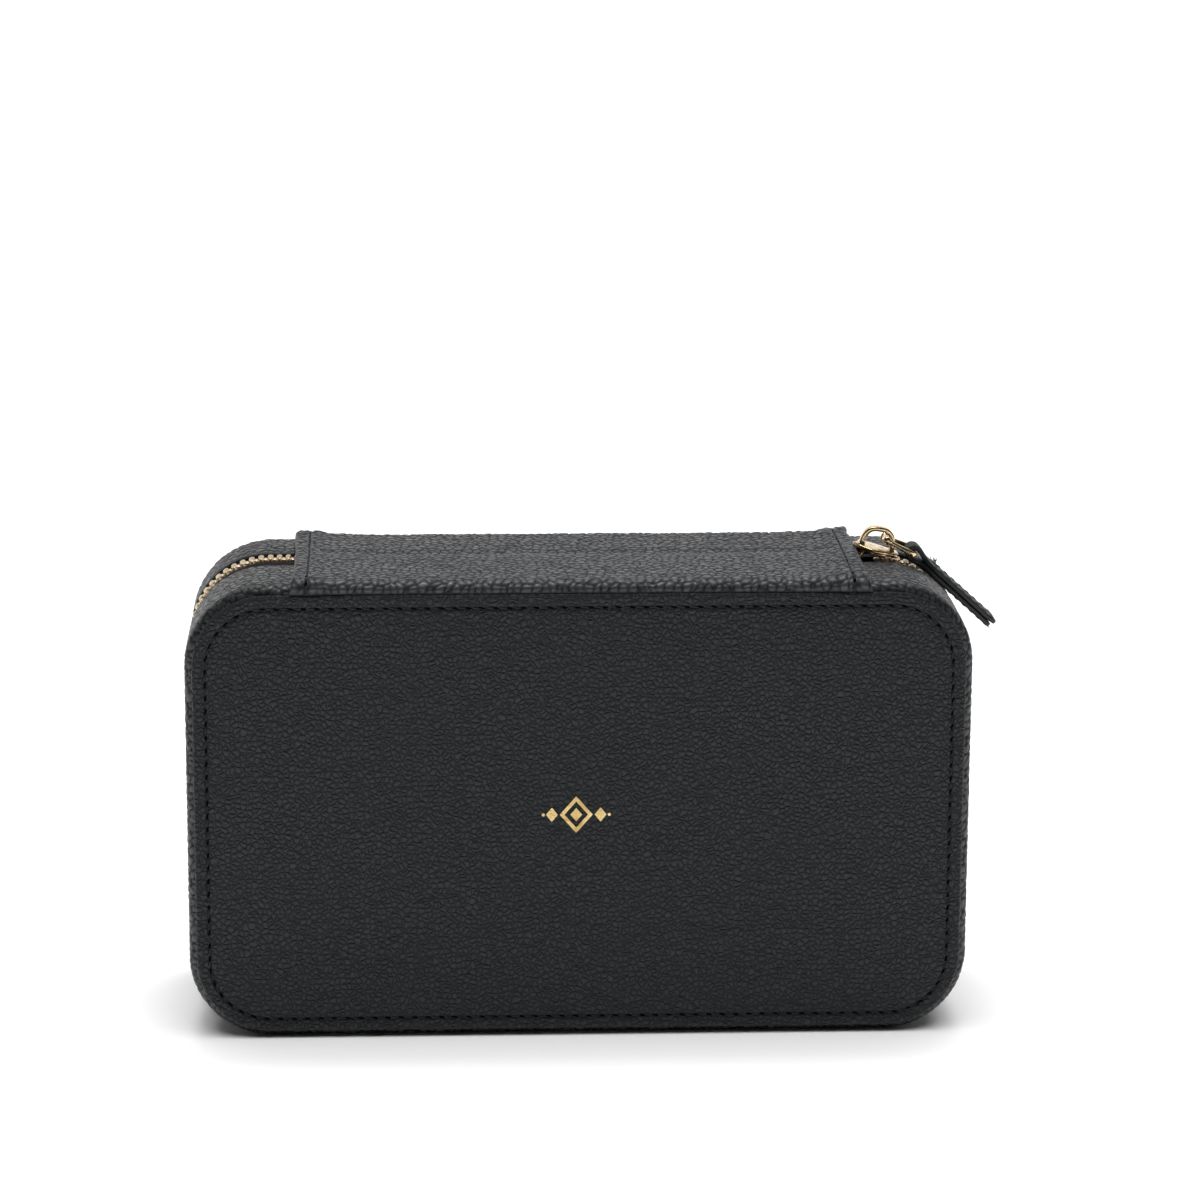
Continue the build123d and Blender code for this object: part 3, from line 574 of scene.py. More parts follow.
def gusset(name, side, depth, body, node):
    """side -1 for the lid, +1 for the base. A leather wall with a turned lip, a rounded shoulder and a flange."""
    fy = depth - PANEL_T                      # flange depth
    prof = [(1.2, 9.0), (1.2, LIP + 0.9), (1.15, LIP + 0.35), (0.95, LIP + 0.08), (0.62, LIP), (0.30, LIP + 0.12), (0.10, LIP + 0.42), (0.0, LIP + 0.95)]
    y = LIP + 1.35
    while y < fy - SHOULDER - 0.2:
        prof.append((0.0, y))
        y += 0.44
    for k in range(11):
        t = math.radians(90 * k / 10)
        prof.append((SHOULDER - SHOULDER * math.cos(t), fy - SHOULDER + SHOULDER * math.sin(t)))
    prof += [(3.5, fy), (4.2, fy), (5.0, fy), (8.9, fy), (8.9, fy - 1.2), (SHOULDER + 0.4, fy - 1.2)]
    for k in range(5):
        t = math.radians(90 - 90 * k / 4)
        prof.append((1.2 + 1.8 - 1.8 * math.cos(t), fy - SHOULDER + 1.8 * math.sin(t)))
    prof.append((1.2, 14.0))
    v, f = ring(FINE, [(i, side * y) for i, y in prof])
    ob = make(name, v, f, M_SIDE, body)
    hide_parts(node)
    m = len(prof)
    arc, acc = [0.0], 0.0
    for a, b in zip(prof, prof[1:]):
        acc += math.hypot(b[0] - a[0], b[1] - a[1])
        arc.append(acc)
    along, acc = [0.0], 0.0
    for a, b in zip(FINE, FINE[1:]):
        acc += math.hypot(b[0] - a[0], b[1] - a[1])
        along.append(acc)
    n = len(FINE)
    U = np.repeat(np.array(along), m)
    V = np.tile(np.array(arc), n)
    outer = np.array([1.0 if (2 <= k < m - 9) else 0.0 for k in range(m)])
    lipw = np.array([smooth(0.0, 2.4, a - arc[4]) * 0.75 + 0.25 if k >= 4 else 0.1 for k, a in enumerate(arc)])
    relief(ob, np.stack([U, V], 1), np.tile(outer * lipw, n), 0.34, seed=5 + side)
    # the wall is drawn over its board by hand: a slight crown on top, none where it stands
    me = ob.data
    co = np.empty(len(me.vertices) * 3)
    me.vertices.foreach_get("co", co)
    co = co.reshape(-1, 3)
    x, y, z = co[:, 0] * 1000 - CX, (co[:, 1] * 1000 - CY) * side, co[:, 2] * 1000
    crown = np.sin(np.clip((y - LIP) / (fy - LIP - 1.5), 0, 1) * math.pi) * 0.32
    upw = np.clip((z - (H - 16)) / 14, 0, 1) * np.clip((110 - np.abs(x)) / 30, 0, 1)
    co[:, 2] += crown * upw * MM
    low = (z < 0.25)
    co[:, 2] = np.where(low, np.maximum(co[:, 2], 0.0), co[:, 2])
    me.vertices.foreach_set("co", co.reshape(-1))
    me.update()
    return ob


gusset("lid_gusset_leather", -1, LID_D, "lid", "lid_gusset")
gusset("base_gusset_leather", 1, BASE_D, "base", "base_gusset")


# ------------------------------------------------------------------ stitched face panels
STITCH_IN = PANEL_IN + 3.4


def panel(name, side, depth, body, node):
    back = depth - PANEL_T
    prof = [(PANEL_IN + 6, back), (PANEL_IN + 0.5, back), (PANEL_IN + 0.12, back + 0.1), (PANEL_IN, back + 0.34)]
    for k in range(1, 7):
        t = math.radians(90 * k / 6)
        prof.append((PANEL_IN + 0.78 - 0.78 * math.cos(t), depth - 0.78 + 0.78 * math.sin(t)))
    prof += [(PANEL_IN + 1.5, depth + 0.04), (PANEL_IN + 2.2, depth + 0.0)]
    # the seam pulls the leather down in a channel
    for d, dip in ((-0.75, 0.03), (-0.45, -0.10), (-0.2, -0.24), (0, -0.30), (0.2, -0.24), (0.45, -0.10), (0.85, 0.03)):
        prof.append((STITCH_IN + d, depth + dip))
    prof += [(STITCH_IN + 1.6, depth + 0.08), (STITCH_IN + 3.2, depth + 0.10), (STITCH_IN + 6.5, depth + 0.11), (R - 4.5, depth + 0.11), (R - 2, depth + 0.11), (R, depth + 0.11)]

    def swell(x, z, i):
        return 0.0
    prof = [(i, side * y) for i, y in prof]
    v, f = ring(PATH, prof, closed_profile=False)
    nx, nz = 80, 40
    a, b = W / 2 - R, H - R
    o = len(v)
    for r in range(nz + 1):
        for c in range(nx + 1):
            v.append(P(-a + 2 * a * c / nx, side * (depth + 0.11), b - (b - R) * r / nz))
    for r in range(nz):
        for c in range(nx):
            k = o + r * (nx + 1) + c
            f.append((k, k + 1, k + nx + 2, k + nx + 1))
    # back of the panel, hidden against the board
    m = len(prof)
    f.append(tuple(k * m for k in range(len(PATH))))
    ob = make(name, v, f, M_FACE, body, merge=2e-6)
    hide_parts(node)
    face_y = P(0, side * (depth - 0.2), 0)[1]
    for vt in ob.data.vertices:
        if (vt.co.y - face_y) * side > 0:
            x, z = vt.co.x * 1000 - CX, vt.co.z * 1000
            ex = min(W / 2 - abs(x), z, H - z)
            w = smooth(6.5, 16, ex)
            low = noise.noise(Vector((x / 46, side * 7, z / 40))) * 0.16 + noise.noise(Vector((x / 17, side * 3, z / 15))) * 0.05
            vt.co.y += side * MM * w * (0.16 + low)
            # puckers between the stitches
            near = math.exp(-((ex - STITCH_IN) / 1.6) ** 2)
            vt.co.y += side * MM * near * 0.05 * noise.noise(Vector((x / 1.9, side, z / 1.9)))
    return ob


panel("lid_face_leather", -1, LID_D, "lid", "lid_face_panel")
panel("base_back_leather", 1, BASE_D, "base", "base_back_panel")


def stitch(parts_t, parts_h, p, t, n, length=2.1, lean=0.16, r=0.25, rise=0.02, hole_l=0.98, hole_w=0.40):
    """One stitch at p along t on a surface with normal n, and a dark patch of painted shade for the awl hole at its far
    end.
    """
    p, t, n = Vector(p), Vector(t).normalized(), Vector(n).normalized()
    s = t.cross(n)
    lean += rnd.uniform(-0.03, 0.03)
    d = (t * math.cos(lean) + s * math.sin(lean)).normalized()
    pts = []
    L = length / 2
    for k in range(9):
        a = -1 + 2 * k / 8
        up = rise - 0.62 * abs(a) ** 5
        pts.append(p + d * (a * L * MM) + n * (up * MM))
    parts_t.append(tube(pts, n, lambda k, m: circle((r * (0.72 if k in (0, m - 1) else 1)) * MM, 8)))
    hp = p + t * ((length / 2 + 0.42) * MM)
    hd = (t * math.cos(lean * 2.6) + s * math.sin(lean * 2.6)).normalized()
    # a flat near-black ellipsoid on the surface: painted shade in place of the awl hole
    parts_h.append(ellipsoid(hp - n * 0.02 * MM, hd * hole_l * MM, hd.cross(n) * hole_w * MM, n * 0.12 * MM, 12, 4))


def panel_stitches(tag, side, depth, body):
    pt, ph = [], []
    total = chain_len(STITCH_IN)
    count = round(total / 3.45)
    for k in range(count):
        x, z, nx, nz, a = chain_pt(total * k / count + 1.2, STITCH_IN)
        c = P(x, side * (depth - 0.24), z)
        t = (math.cos(a), 0, -math.sin(a))
        stitch(pt, ph, c, t, (0, side, 0), lean=-0.16 * side)
    v, f = join(pt)
    make(f"{tag}_panel_thread", v, f, M_THREAD, body)
    # the awl holes are dark patches of painted shade
    v, f = join(ph)
    make(f"{tag}_panel_awl_holes", v, f, M_HOLE_SHADE, body)


panel_stitches("lid", -1, LID_D, "lid")
panel_stitches("base", 1, BASE_D, "base")


# ------------------------------------------------------------------ foil motif
def flat_shape(loops, y0, y1, jitter=0.05):
    """A thin piece with slightly ragged edges from closed loops of (x, z); the later loops are holes."""
    bm = bmesh.new()
    for loop in loops:
        pts = []
        for k in range(len(loop)):
            a, b = Vector(loop[k]), Vector(loop[(k + 1) % len(loop)])
            n = max(2, int((b - a).length / 0.28))
            for j in range(n):
                q = a.lerp(b, j / n)
                w = noise.noise_vector(Vector((q.x * 2.3, q.y * 2.3, 4.0)))
                pts.append((q.x + w.x * jitter, q.y + w.y * jitter))
        vs = [bm.verts.new(P(x - 1.0, y0, z + H / 2)) for x, z in pts]
        for k in range(len(vs)):
            bm.edges.new((vs[k], vs[(k + 1) % len(vs)]))
    bmesh.ops.triangle_fill(bm, edges=bm.edges[:], use_beauty=True)
    bmesh.ops.recalc_face_normals(bm, faces=bm.faces)
    ret = bmesh.ops.extrude_face_region(bm, geom=bm.faces[:])
    up = [v for v in ret["geom"] if isinstance(v, bmesh.types.BMVert)]
    for v in up:
        v.co.y = P(0, y1, 0)[1]
    bmesh.ops.recalc_face_normals(bm, faces=bm.faces)
    out = ([v.co.copy() for v in bm.verts], [[v.index for v in f.verts] for f in bm.faces])
    bm.verts.index_update()
    out = ([v.co.copy() for v in bm.verts], [[v.index for v in f.verts] for f in bm.faces])
    bm.free()
    return out


def lozenge(cx, hw, hh):
    return [(cx - hw, 0), (cx, -hh), (cx + hw, 0), (cx, hh)]


fy0, fy1 = -LID_D - 0.18, -LID_D - 0.42
shapes = [flat_shape([lozenge(0, 4.2, 4.85), lozenge(0, 3.0, 3.46)], fy0, fy1),
          flat_shape([lozenge(0, 1.5, 1.75)], fy0, fy1)]
for s in (-1, 1):
    shapes.append(flat_shape([lozenge(s * 6.2, 1.5, 1.9)], fy0, fy1))
    shapes.append(flat_shape([[(s * 8.4 + 0.42 * math.cos(a), 0.42 * math.sin(a)) for a in (k * math.pi / 4 for k in range(8))]], fy0, fy1, 0.03))
v, f = join(shapes)
motif = make("foil_motif", v, f, M_FOIL, "lid", smooth_shade=False)
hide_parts("lid_foil_motif")


# ------------------------------------------------------------------ zip tape and teeth
CH_LEN = chain_len(1.5)


def chain_lift(s):
    """How far the chain rides out of the gap between the lips, mm: sunk past the slider, proud on the far side."""
    right = smooth(84, 92, s) * (1 - smooth(120, 200, s))
    left = smooth(468, 522, s)
    return -0.85 * right + 0.85 * left


def tape_path(x_end=62.0):
    pts, ss = [], []
    step = 1.6
    arc = math.pi / 2
    total = chain_len(0)
    s = x_end
    while s < total - x_end:
        x, z, nx, nz, a = chain_pt(s, 0)
        pts.append((x, z, nx, nz))
        ss.append(s)
        s += step
    x, z, nx, nz, a = chain_pt(total - x_end, 0)
    pts.append((x, z, nx, nz))
    ss.append(total - x_end)
    return pts, [q * CH_LEN / total for q in ss]


TP, TPS = tape_path()
for tag, side, node in (("lid", -1, "zip_tape_lid"), ("base", 1, "zip_tape_base")):
    prof = [(1.22, 14.0), (1.22, 6.0), (1.20, 4.2), (1.10, 3.5), (0.95, 3.15), (1.0, 2.75), (1.25, 2.5), (1.55, 2.42), (1.85, 2.5), (2.1, 2.75), (2.1, 3.15), (1.95, 3.5), (1.88, 4.2), (1.88, 6.0), (1.88, 14.0)]
    v, f = ring(TP, [(i, side * y) for i, y in prof], closed_path=False)
    m = len(prof)
    for k in range(len(v)):
        _, _, nx, nz = TP[k // m]
        e = chain_lift(TPS[k // m]) * (1 - smooth(3.2, 6.5, prof[k % m][1])) * MM
        v[k] = (v[k][0] + nx * e, v[k][1], v[k][2] + nz * e)
    ob = make(f"zip_tape_{tag}_weave", v, f, M_TAPE, tag)
    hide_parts(node)

TOOTH_PITCH = 2.3
TOOTH_MID = 1.5
ZIP_START_X, ZIP_END_X = 77.6, -64.0
S0 = ZIP_START_X
S1 = CH_LEN + ZIP_END_X
N_TEETH = int((S1 - S0 - TOOTH_PITCH) / TOOTH_PITCH)


def tooth(s, side):
    """One cast tooth: legs clamped on the tape, a waist, and a domed head that locks past the middle."""
    x, z, nx, nz, a = chain_pt(s, TOOTH_MID)
    e = chain_lift(s)
    x, z = x + nx * e, z + nz * e
    c = Vector(P(x, 0, z))
    t = Vector((math.cos(a), 0, -math.sin(a)))
    n = Vector((nx, 0, nz))
    secs = [(2.98, 0.50, 0.95), (2.88, 0.74, 1.18), (2.4, 0.82, 1.27), (1.8, 0.82, 1.27), (1.3, 0.76, 1.20), (0.8, 0.58, 1.00), (0.2, 0.58, 1.02), (-0.35, 0.56, 0.98), (-0.70, 0.40, 0.74), (-0.80, 0.14, 0.36)]
    verts, faces = [], []
    m = 12
    for (y, w, h) in secs:
        for k in range(m):
            p = 2 * math.pi * k / m
            cc, ss = math.cos(p), math.sin(p)
            e = 0.55
            aa = math.copysign(abs(cc) ** e, cc) * w
            uu = math.copysign(abs(ss) ** e, ss) * h
            verts.append(c + t * (aa * MM) + n * (uu * MM) + Vector((0, side * y * MM, 0)))
    for j in range(len(secs) - 1):
        for k in range(m):
            q = (k + 1) % m
            faces.append((j * m + k, (j + 1) * m + k, (j + 1) * m + q, j * m + q))
    faces.append(tuple(range(m)))
    faces.append(tuple((len(secs) - 1) * m + k for k in range(m)))
    return verts, faces


for tag, side, off, node in (("lid", -1, 0.3, "zip_teeth_lid"), ("base", 1, 0.3 + TOOTH_PITCH / 2, "zip_teeth_base")):
    v, f = join([tooth(S0 + off + k * TOOTH_PITCH, side) for k in range(N_TEETH)])
    ob = make(f"zip_teeth_{tag}_cast", v, f, M_TEETH, tag)
    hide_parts(node)

# ------------------------------------------------------------------ hinge strip (spine)
SPX = 72.0


def spine_section(step=0.42):
    """Points of the gusset surface from the front seam to the back seam: (y, z over the gusset, normal y, normal z)."""
    out = []
    cyl = -(LID_D - PANEL_T) + SHOULDER
    cyb = (BASE_D - PANEL_T) - SHOULDER
    n_arc = max(8, int(math.radians(76) * (SHOULDER + 1) / step))
    for k in range(n_arc + 1):
        t = math.radians(76 - 76 * k / n_arc)
        out.append((cyl - SHOULDER * math.sin(t), -SHOULDER + SHOULDER * math.cos(t), -math.sin(t), math.cos(t)))
    n = int((cyb - cyl) / step)
    for k in range(1, n):
        out.append((cyl + (cyb - cyl) * k / n, 0, 0, 1))
    for k in range(n_arc + 1):
        t = math.radians(76 * k / n_arc)
        out.append((cyb + SHOULDER * math.sin(t), -SHOULDER + SHOULDER * math.cos(t), math.sin(t), math.cos(t)))
    return out


def spine_x(step=0.42):
    ds = [0.0, 0.06, 0.2, 0.4, 0.65, 0.95, 1.3, 1.7, 2.1, 2.5, 2.8, 3.0, 3.2, 3.4, 3.6, 3.8, 4.0, 4.3, 4.7, 5.1]
    xs = [SPX - d for d in ds]
    n = int(SPX * 2 / step)
    e = SPX - 5.5
    mid = [-e + 2 * e * k / int(2 * e / step) for k in range(int(2 * e / step) + 1)]
    return [-x for x in xs] + mid + list(reversed(xs))


def strip_x(x, s):
    """The cut ends aren't square: they swing out over the front shoulder and in at the back corner."""
    y, z = s[0], s[1]
    over = max(0.0, -z) if y < 0 else 0.0
    if x > 0:
        f = 0.75 + 0.25 * smooth(-22, -30, y) + 0.42 * over - 1.7 * smooth(12, 25, y)
    else:
        f = 0.35 + 0.55 * smooth(-2, 16, y) + 0.35 * smooth(-22, -30, y) + 0.32 * over - 1.5 * smooth(21, 26, y)
    w = 1 - smooth(3.5, 16, SPX - abs(x))
    s_in = 0.45 + 0.55 * (1 - smooth(0.5, 3.2, SPX - abs(x)))
    return x + math.copysign(f * w * s_in, x)


def spine_surface(x, s, nsec):
    """Height of the outer and inner surface over the gusset at x, for section point s."""
    ax = SPX - abs(x)                        # distance in from the end
    t = 1.2 + 0.62 * (1 - smooth(5.0, 9.0, ax)) + 0.35 * (1 - smooth(6, 26, ax))
    y = s[0]
    mid = math.exp(-((y - 1.5) / 3.0) ** 2)
    groove = 0.50 * math.exp(-((ax - 3.4) / 0.38) ** 2)
    sag = 0.42 * mid * smooth(0.5, 12, ax) + 0.10 * math.exp(-((y - 8.5) / 1.6) ** 2)
    wob = 0.16 * noise.noise(Vector((x / 13, y / 9, 2.2))) + 0.07 * noise.noise(Vector((x / 4.2, y / 5, 8.1)))
    pad = 0.08 * math.exp(-((ax - 1.8) / 0.9) ** 2)
    # the ends lift off the gusset
    lift = (0.60 if x > 0 else 0.30) * (1 - smooth(0, 9, ax)) * smooth(-30, -14, y) * (1 - 0.6 * smooth(18, 27, y))
    o = t + wob - groove + pad - sag + lift
    i = 0.02 - sag * 0.8 + lift * 0.8
    if ax < 0.95:
        mid_t = (o + i) / 2
        k = math.sqrt(max(0, 1 - ((0.95 - ax) / 0.95) ** 2))
        o, i = mid_t + (o - mid_t) * k, mid_t + (i - mid_t) * k
    return o, i


def spine_grid(xs, sec, which):
    out, ns = [], len(sec)
    for x in xs:
        for k, s in enumerate(sec):
            o, i = spine_surface(x, s, ns)
            near = min(math.hypot(s[0] - sec[0][0], s[1] - sec[0][1]), math.hypot(s[0] - sec[-1][0], s[1] - sec[-1][1]))
            o = i + (o - i) * (0.45 + 0.55 * smooth(0, 1.2, near))
            h = o if which else i
            out.append(P(strip_x(x, s), s[0] + h * s[2], H + s[1] + h * s[3]))
    return out


sec = spine_section()
xs = spine_x()
ns = len(sec)
nX = len(xs)
verts = spine_grid(xs, sec, True)
faces = []
for a in range(nX - 1):
    for k in range(ns - 1):
        q = a * ns + k
        faces.append((q, q + ns, q + ns + 1, q + 1))
# the inner side is plain: corners shared with the rim of the outer one
rim = [a * ns for a in range(nX)] + [(nX - 1) * ns + k for k in range(1, ns)] + [a * ns + ns - 1 for a in range(nX - 2, -1, -1)] + [k for k in range(ns - 2, 0, -1)]
inner_at = {}
icols = sorted(set([0, 2, 5, 9, nX - 1, nX - 3, nX - 6, nX - 10] + list(range(12, nX - 12, 6))))
irows = sorted(set([0, ns - 1] + list(range(3, ns - 1, 3))))
ig = spine_grid([xs[a] for a in icols], [sec[k] for k in irows], False)
o0 = len(verts)
verts += ig
for a in range(len(icols) - 1):
    for k in range(len(irows) - 1):
        q = o0 + a * len(irows) + k
        faces.append((q, q + 1, q + len(irows) + 1, q + len(irows)))
for a in range(len(icols) - 1):
    for k, kk in ((0, 0), (len(irows) - 1, ns - 1)):
        i0, i1 = o0 + a * len(irows) + k, o0 + (a + 1) * len(irows) + k
        run = [q * ns + kk for q in range(icols[a], icols[a + 1] + 1)]
        faces.append(tuple(run + [i1, i0]) if k else tuple([i0, i1] + run[::-1]))
for k in range(len(irows) - 1):
    for a, aa in ((0, 0), (len(icols) - 1, nX - 1)):
        i0, i1 = o0 + a * len(irows) + k, o0 + a * len(irows) + k + 1
        run = [aa * ns + q for q in range(irows[k], irows[k + 1] + 1)]
        faces.append(tuple([i0, i1] + run[::-1]) if a == 0 else tuple(run + [i1, i0]))
spine = make("hinge_strip_leather", verts, faces, M_SPINE, None)
SU = np.zeros(len(verts))
SV = np.zeros(len(verts))
KEEP = np.zeros(len(verts))
arc_s, acc = [0.0], 0.0
for a, b in zip(sec, sec[1:]):
    acc += math.hypot(b[0] - a[0], b[1] - a[1]) * 1.12
    arc_s.append(acc)
for a in range(nX):
    d = SPX - abs(xs[a])
    for k in range(ns):
        q = a * ns + k
        SU[q], SV[q] = xs[a], arc_s[k]
        KEEP[q] = smooth(0.1, 0.9, d) * (1 - 0.8 * math.exp(-((d - 3.4) / 0.5) ** 2)) * smooth(0, 1.0, min(arc_s[k], arc_s[-1] - arc_s[k]))
relief(spine, np.stack([SU, SV], 1), KEEP, 0.42, seed=2)
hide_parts("spine_lid_half", "spine_base_half")
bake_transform(spine)

# stitches across both ends of the strip
for tag, x in (("left", -SPX + 3.4), ("right", SPX - 3.4)):
    # arc length table along the section
    acc, lens = 0.0, [0.0]
    pts = []
    for k, s in enumerate(sec):
        o, i = spine_surface(x, s, ns)
        pts.append((s[0] + (o + 0.03) * s[2], s[1] + (o + 0.03) * s[3], s[2], s[3]))
    for k in range(1, len(sec)):
        acc += math.hypot(pts[k][0] - pts[k - 1][0], pts[k][1] - pts[k - 1][1])
        lens.append(acc)
    pt, ph = [], []
    pitch = 3.9
    n_st = int(acc / pitch)
    for j in range(n_st):
        d = 1.4 + j * pitch
        if d > acc - 1.2:
            break
        k = max(1, next(i for i, L in enumerate(lens) if L >= d))
        u = (d - lens[k - 1]) / (lens[k] - lens[k - 1])
        a, b = pts[k - 1], pts[k]
        y, z, ny, nz = (a[q] + (b[q] - a[q]) * u for q in range(4))
        tt = Vector((0, b[0] - a[0], b[1] - a[1])).normalized()
        stitch(pt, ph, P(strip_x(x, (y, z, ny, nz)), y, H + z), tt, Vector((0, ny, nz)), length=2.6, lean=0.08, rise=0.04, hole_l=0.62, hole_w=0.34)
    # the awl holes are dark patches of painted shade
    for nm, parts, mat in (("thread", pt, M_THREAD), ("awl_holes", ph, M_HOLE_SHADE)):
        v, f = join(parts)
        ob = make(f"hinge_strip_{tag}_{nm}", v, f, mat)
        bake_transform(ob)

# lining that bridges the gap inside
hl_v, hl_f = [], []
ys_ = [-14 + 28 * k / 32 for k in range(33)]
xs_ = [-61.6 + 123.2 * k / 60 for k in range(61)]
for zt in (0, 1):
    for x in xs_:
        for y in ys_:
            sag = 0.5 * math.exp(-(y / 3.2) ** 2) + 0.05 * noise.noise(Vector((x / 6, y / 6, 1)))
            hl_v.append(P(x, y, H - 1.22 - 0.68 * zt - sag))
n1, n2 = len(xs_), len(ys_)
for a in range(n1 - 1):
    for b in range(n2 - 1):
        q = a * n2 + b
        hl_f.append((q, q + 1, q + n2 + 1, q + n2))
        q += n1 * n2
        hl_f.append((q, q + n2, q + n2 + 1, q + 1))
for a in range(n1 - 1):
    for b in (0, n2 - 1):
        q = a * n2 + b
        hl_f.append((q, q + n2, q + n2 + n1 * n2, q + n1 * n2))
for b in range(n2 - 1):
    for a in (0, n1 - 1):
        q = a * n2 + b
        hl_f.append((q, q + 1, q + 1 + n1 * n2, q + n1 * n2))
ob = make("hinge_lining", hl_v, hl_f, M_SUEDE, None)
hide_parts("hinge_lining_lid_half", "hinge_lining_base_half")
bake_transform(ob)

# ------------------------------------------------------------------ slider
TILT = math.radians(15.0)                 # its nose is lifted by the pull of the tab
SC = (72.25, H - 19.14)
UX = Vector((math.cos(TILT), 0, -math.sin(TILT)))
VX = Vector((math.sin(TILT), 0, math.cos(TILT)))
YX = Vector((0, 1, 0))
SO = Vector(P(SC[0], 0, SC[1]))


def SL(u, y, v):
    return SO + UX * (u * MM) + YX * (y * MM) + VX * (v * MM)


def plate(outline_pts, v0, v1, r, dome=0.0, n=4):
    """A plate of smooth outline with rounded rims: rings of the outline, shrunk towards the rims."""
    loop = catmull([Vector((a, b, 0)) for a, b in outline_pts], 6, closed=True)
    m = len(loop)
    nor = []
    for k in range(m):
        t = (loop[(k + 1) % m] - loop[k - 1]).normalized()
        nor.append(Vector((t.y, -t.x, 0)))
    cen = Vector((sum(p.x for p in loop) / m, sum(p.y for p in loop) / m, 0))
    if (loop[0] - cen).dot(nor[0]) < 0:
        nor = [-q for q in nor]
    rows = []
    for k in range(n + 1):
        t = math.radians(90 * k / n)
        rows.append((r - r * math.sin(t), v0 + r - r * math.cos(t)))
    for k in range(n + 1):
        t = math.radians(90 * k / n)
        rows.append((r - r * math.cos(t), v1 - r + r * math.sin(t)))
    rows.append((r + 0.5, v1 + dome * 0.35))
    rows.append((r + 1.2, v1 + dome * 0.7))
    rows.append((r + 2.0, v1 + dome * 0.95))
    verts, faces = [], []
    for (ins, vv) in rows:
        for k in range(m):
            p = loop[k] - nor[k] * ins
            verts.append(SL(p.x, p.y, vv))
    for j in range(len(rows) - 1):
        for k in range(m):
            q = (k + 1) % m
            faces.append((j * m + k, j * m + q, (j + 1) * m + q, (j + 1) * m + k))
    faces.append(tuple(range(m)))
    verts.append(SL(cen.x, cen.y, v1 + dome))
    for k in range(m):
        faces.append(((len(rows) - 1) * m + k, (len(rows) - 1) * m + (k + 1) % m, len(verts) - 1))
    return verts, faces


half = [(-5.95, -0.55), (-5.0, -2.0), (-3.4, -3.55), (-1.7, -4.55), (-0.2, -4.75), (1.3, -4.25), (2.6, -3.55), (3.9, -3.25), (5.2, -3.0), (5.95, -2.2)]
top_out = [(-6.1, 0.0)] + half + [(6.1, 0.0)] + [(a, -b) for a, b in reversed(half)]
parts = [plate(top_out, 21.05, 22.2, 0.48, dome=0.16), plate(top_out, 14.4, 15.6, 0.5, dome=0.0)]
# skirts that steer the tape
for s in (-1, 1):
    for (v0, v1) in ((20.5, 21.5), (15.2, 16.4)):
        line = catmull([SL(-1.6, s * 4.1, (v0 + v1) / 2), SL(-0.2, s * 4.2, (v0 + v1) / 2), SL(1.2, s * 3.75, (v0 + v1) / 2), SL(2.4, s * 3.2, (v0 + v1) / 2)], 6)
        parts.append(tube(line, VX, lambda k, n, h=(v1 - v0) / 2: rrect(0.42 * MM, h * MM, 0.25 * MM)))
# diamond post between the plates
post = [(-4.9, 0.0), (-3.8, -0.85), (-2.7, 0.0), (-3.8, 0.85)]
parts.append((lambda loop: ([SL(a, b, v) for v in (15.0, 21.5) for a, b in loop], [(0, 1, 5, 4), (1, 2, 6, 5), (2, 3, 7, 6), (3, 0, 4, 7), (0, 3, 2, 1), (4, 5, 6, 7)]))(post))
v, f = join(parts)
ob = make("slider_body_cast", v, f, M_GOLD, "slider")
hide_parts("slider_body")

# bridge: a strap with splayed feet
bp = [(-4.1, 21.95), (-3.95, 22.6), (-3.86, 23.6), (-3.72, 24.7), (-3.1, 25.95), (-1.85, 26.8), (-0.1, 27.1), (1.55, 27.05), (2.75, 26.4), (3.5, 25.35), (3.85, 24.0), (4.0, 22.8), (4.1, 21.95)]
line = catmull([SL(a, 0, b) for a, b in bp], 6)
cen = SL(0.1, 0, 23.4)
ups = [(p - cen).normalized() for p in line]


def strap(k, n):
    e = min(k, n - 1 - k) / (n - 1)
    flare = 1 + 0.35 * (1 - smooth(0, 0.14, e))
    left = 1 - k / (n - 1)
    thick = 0.62 + 0.22 * smooth(0.62, 0.95, left) + 0.12 * (1 - smooth(0, 0.1, e))
    return rrect(1.35 * flare * MM, thick * MM, 0.46 * MM, 5)


v, f = tube(line, ups, strap)
ob = make("slider_bridge_strap", v, f, M_GOLD, "slider")
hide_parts("slider_bridge")

# ------------------------------------------------------------------ link
A, Bq = (80.6, H + 4.5), (87.6, H + 1.0)
LL = math.hypot(Bq[0] - A[0], Bq[1] - A[1])
LU = Vector(((Bq[0] - A[0]) / LL, 0, (Bq[1] - A[1]) / LL))
LV = Vector((-LU.z, 0, LU.x))
LO = Vector(P(A[0], 0, A[1]))


def LK(u, y, v=0.0):
    return LO + LU * (u * MM) + YX * (y * MM) + LV * (v * MM)


ringp = [(0, -2.2), (0, -1.1), (0, 0), (0, 1.1), (0, 2.2), (0.5, 2.85), (1.4, 3.05), (3.0, 3.35), (5.0, 3.75), (6.5, 4.1), (7.35, 4.1), (LL, 3.5), (LL, 1.8), (LL, 0), (LL, -1.8), (LL, -3.5), (7.35, -4.1), (6.5, -4.1), (5.0, -3.75), (3.0, -3.35), (1.4, -3.05), (0.5, -2.85)]
loop = catmull([LK(a, b) for a, b in ringp], 5, closed=True)
NLOOP = len(loop)


def link_sec(k, n):
    u = (loop[k] - LO).dot(LU) / MM
    y = abs((loop[k] - LO).dot(YX) / MM)
    if y > 2.7 and 1.0 < u < LL - 0.4:        # legs: flatter and swelling towards the tab
        return rrect((0.55 + 0.2 * smooth(2, 7, u)) * MM, (0.52 + 0.26 * smooth(2, 7, u)) * MM, 0.4 * MM, 4)
    return rrect(0.70 * MM, 0.70 * MM, 0.5 * MM, 4)


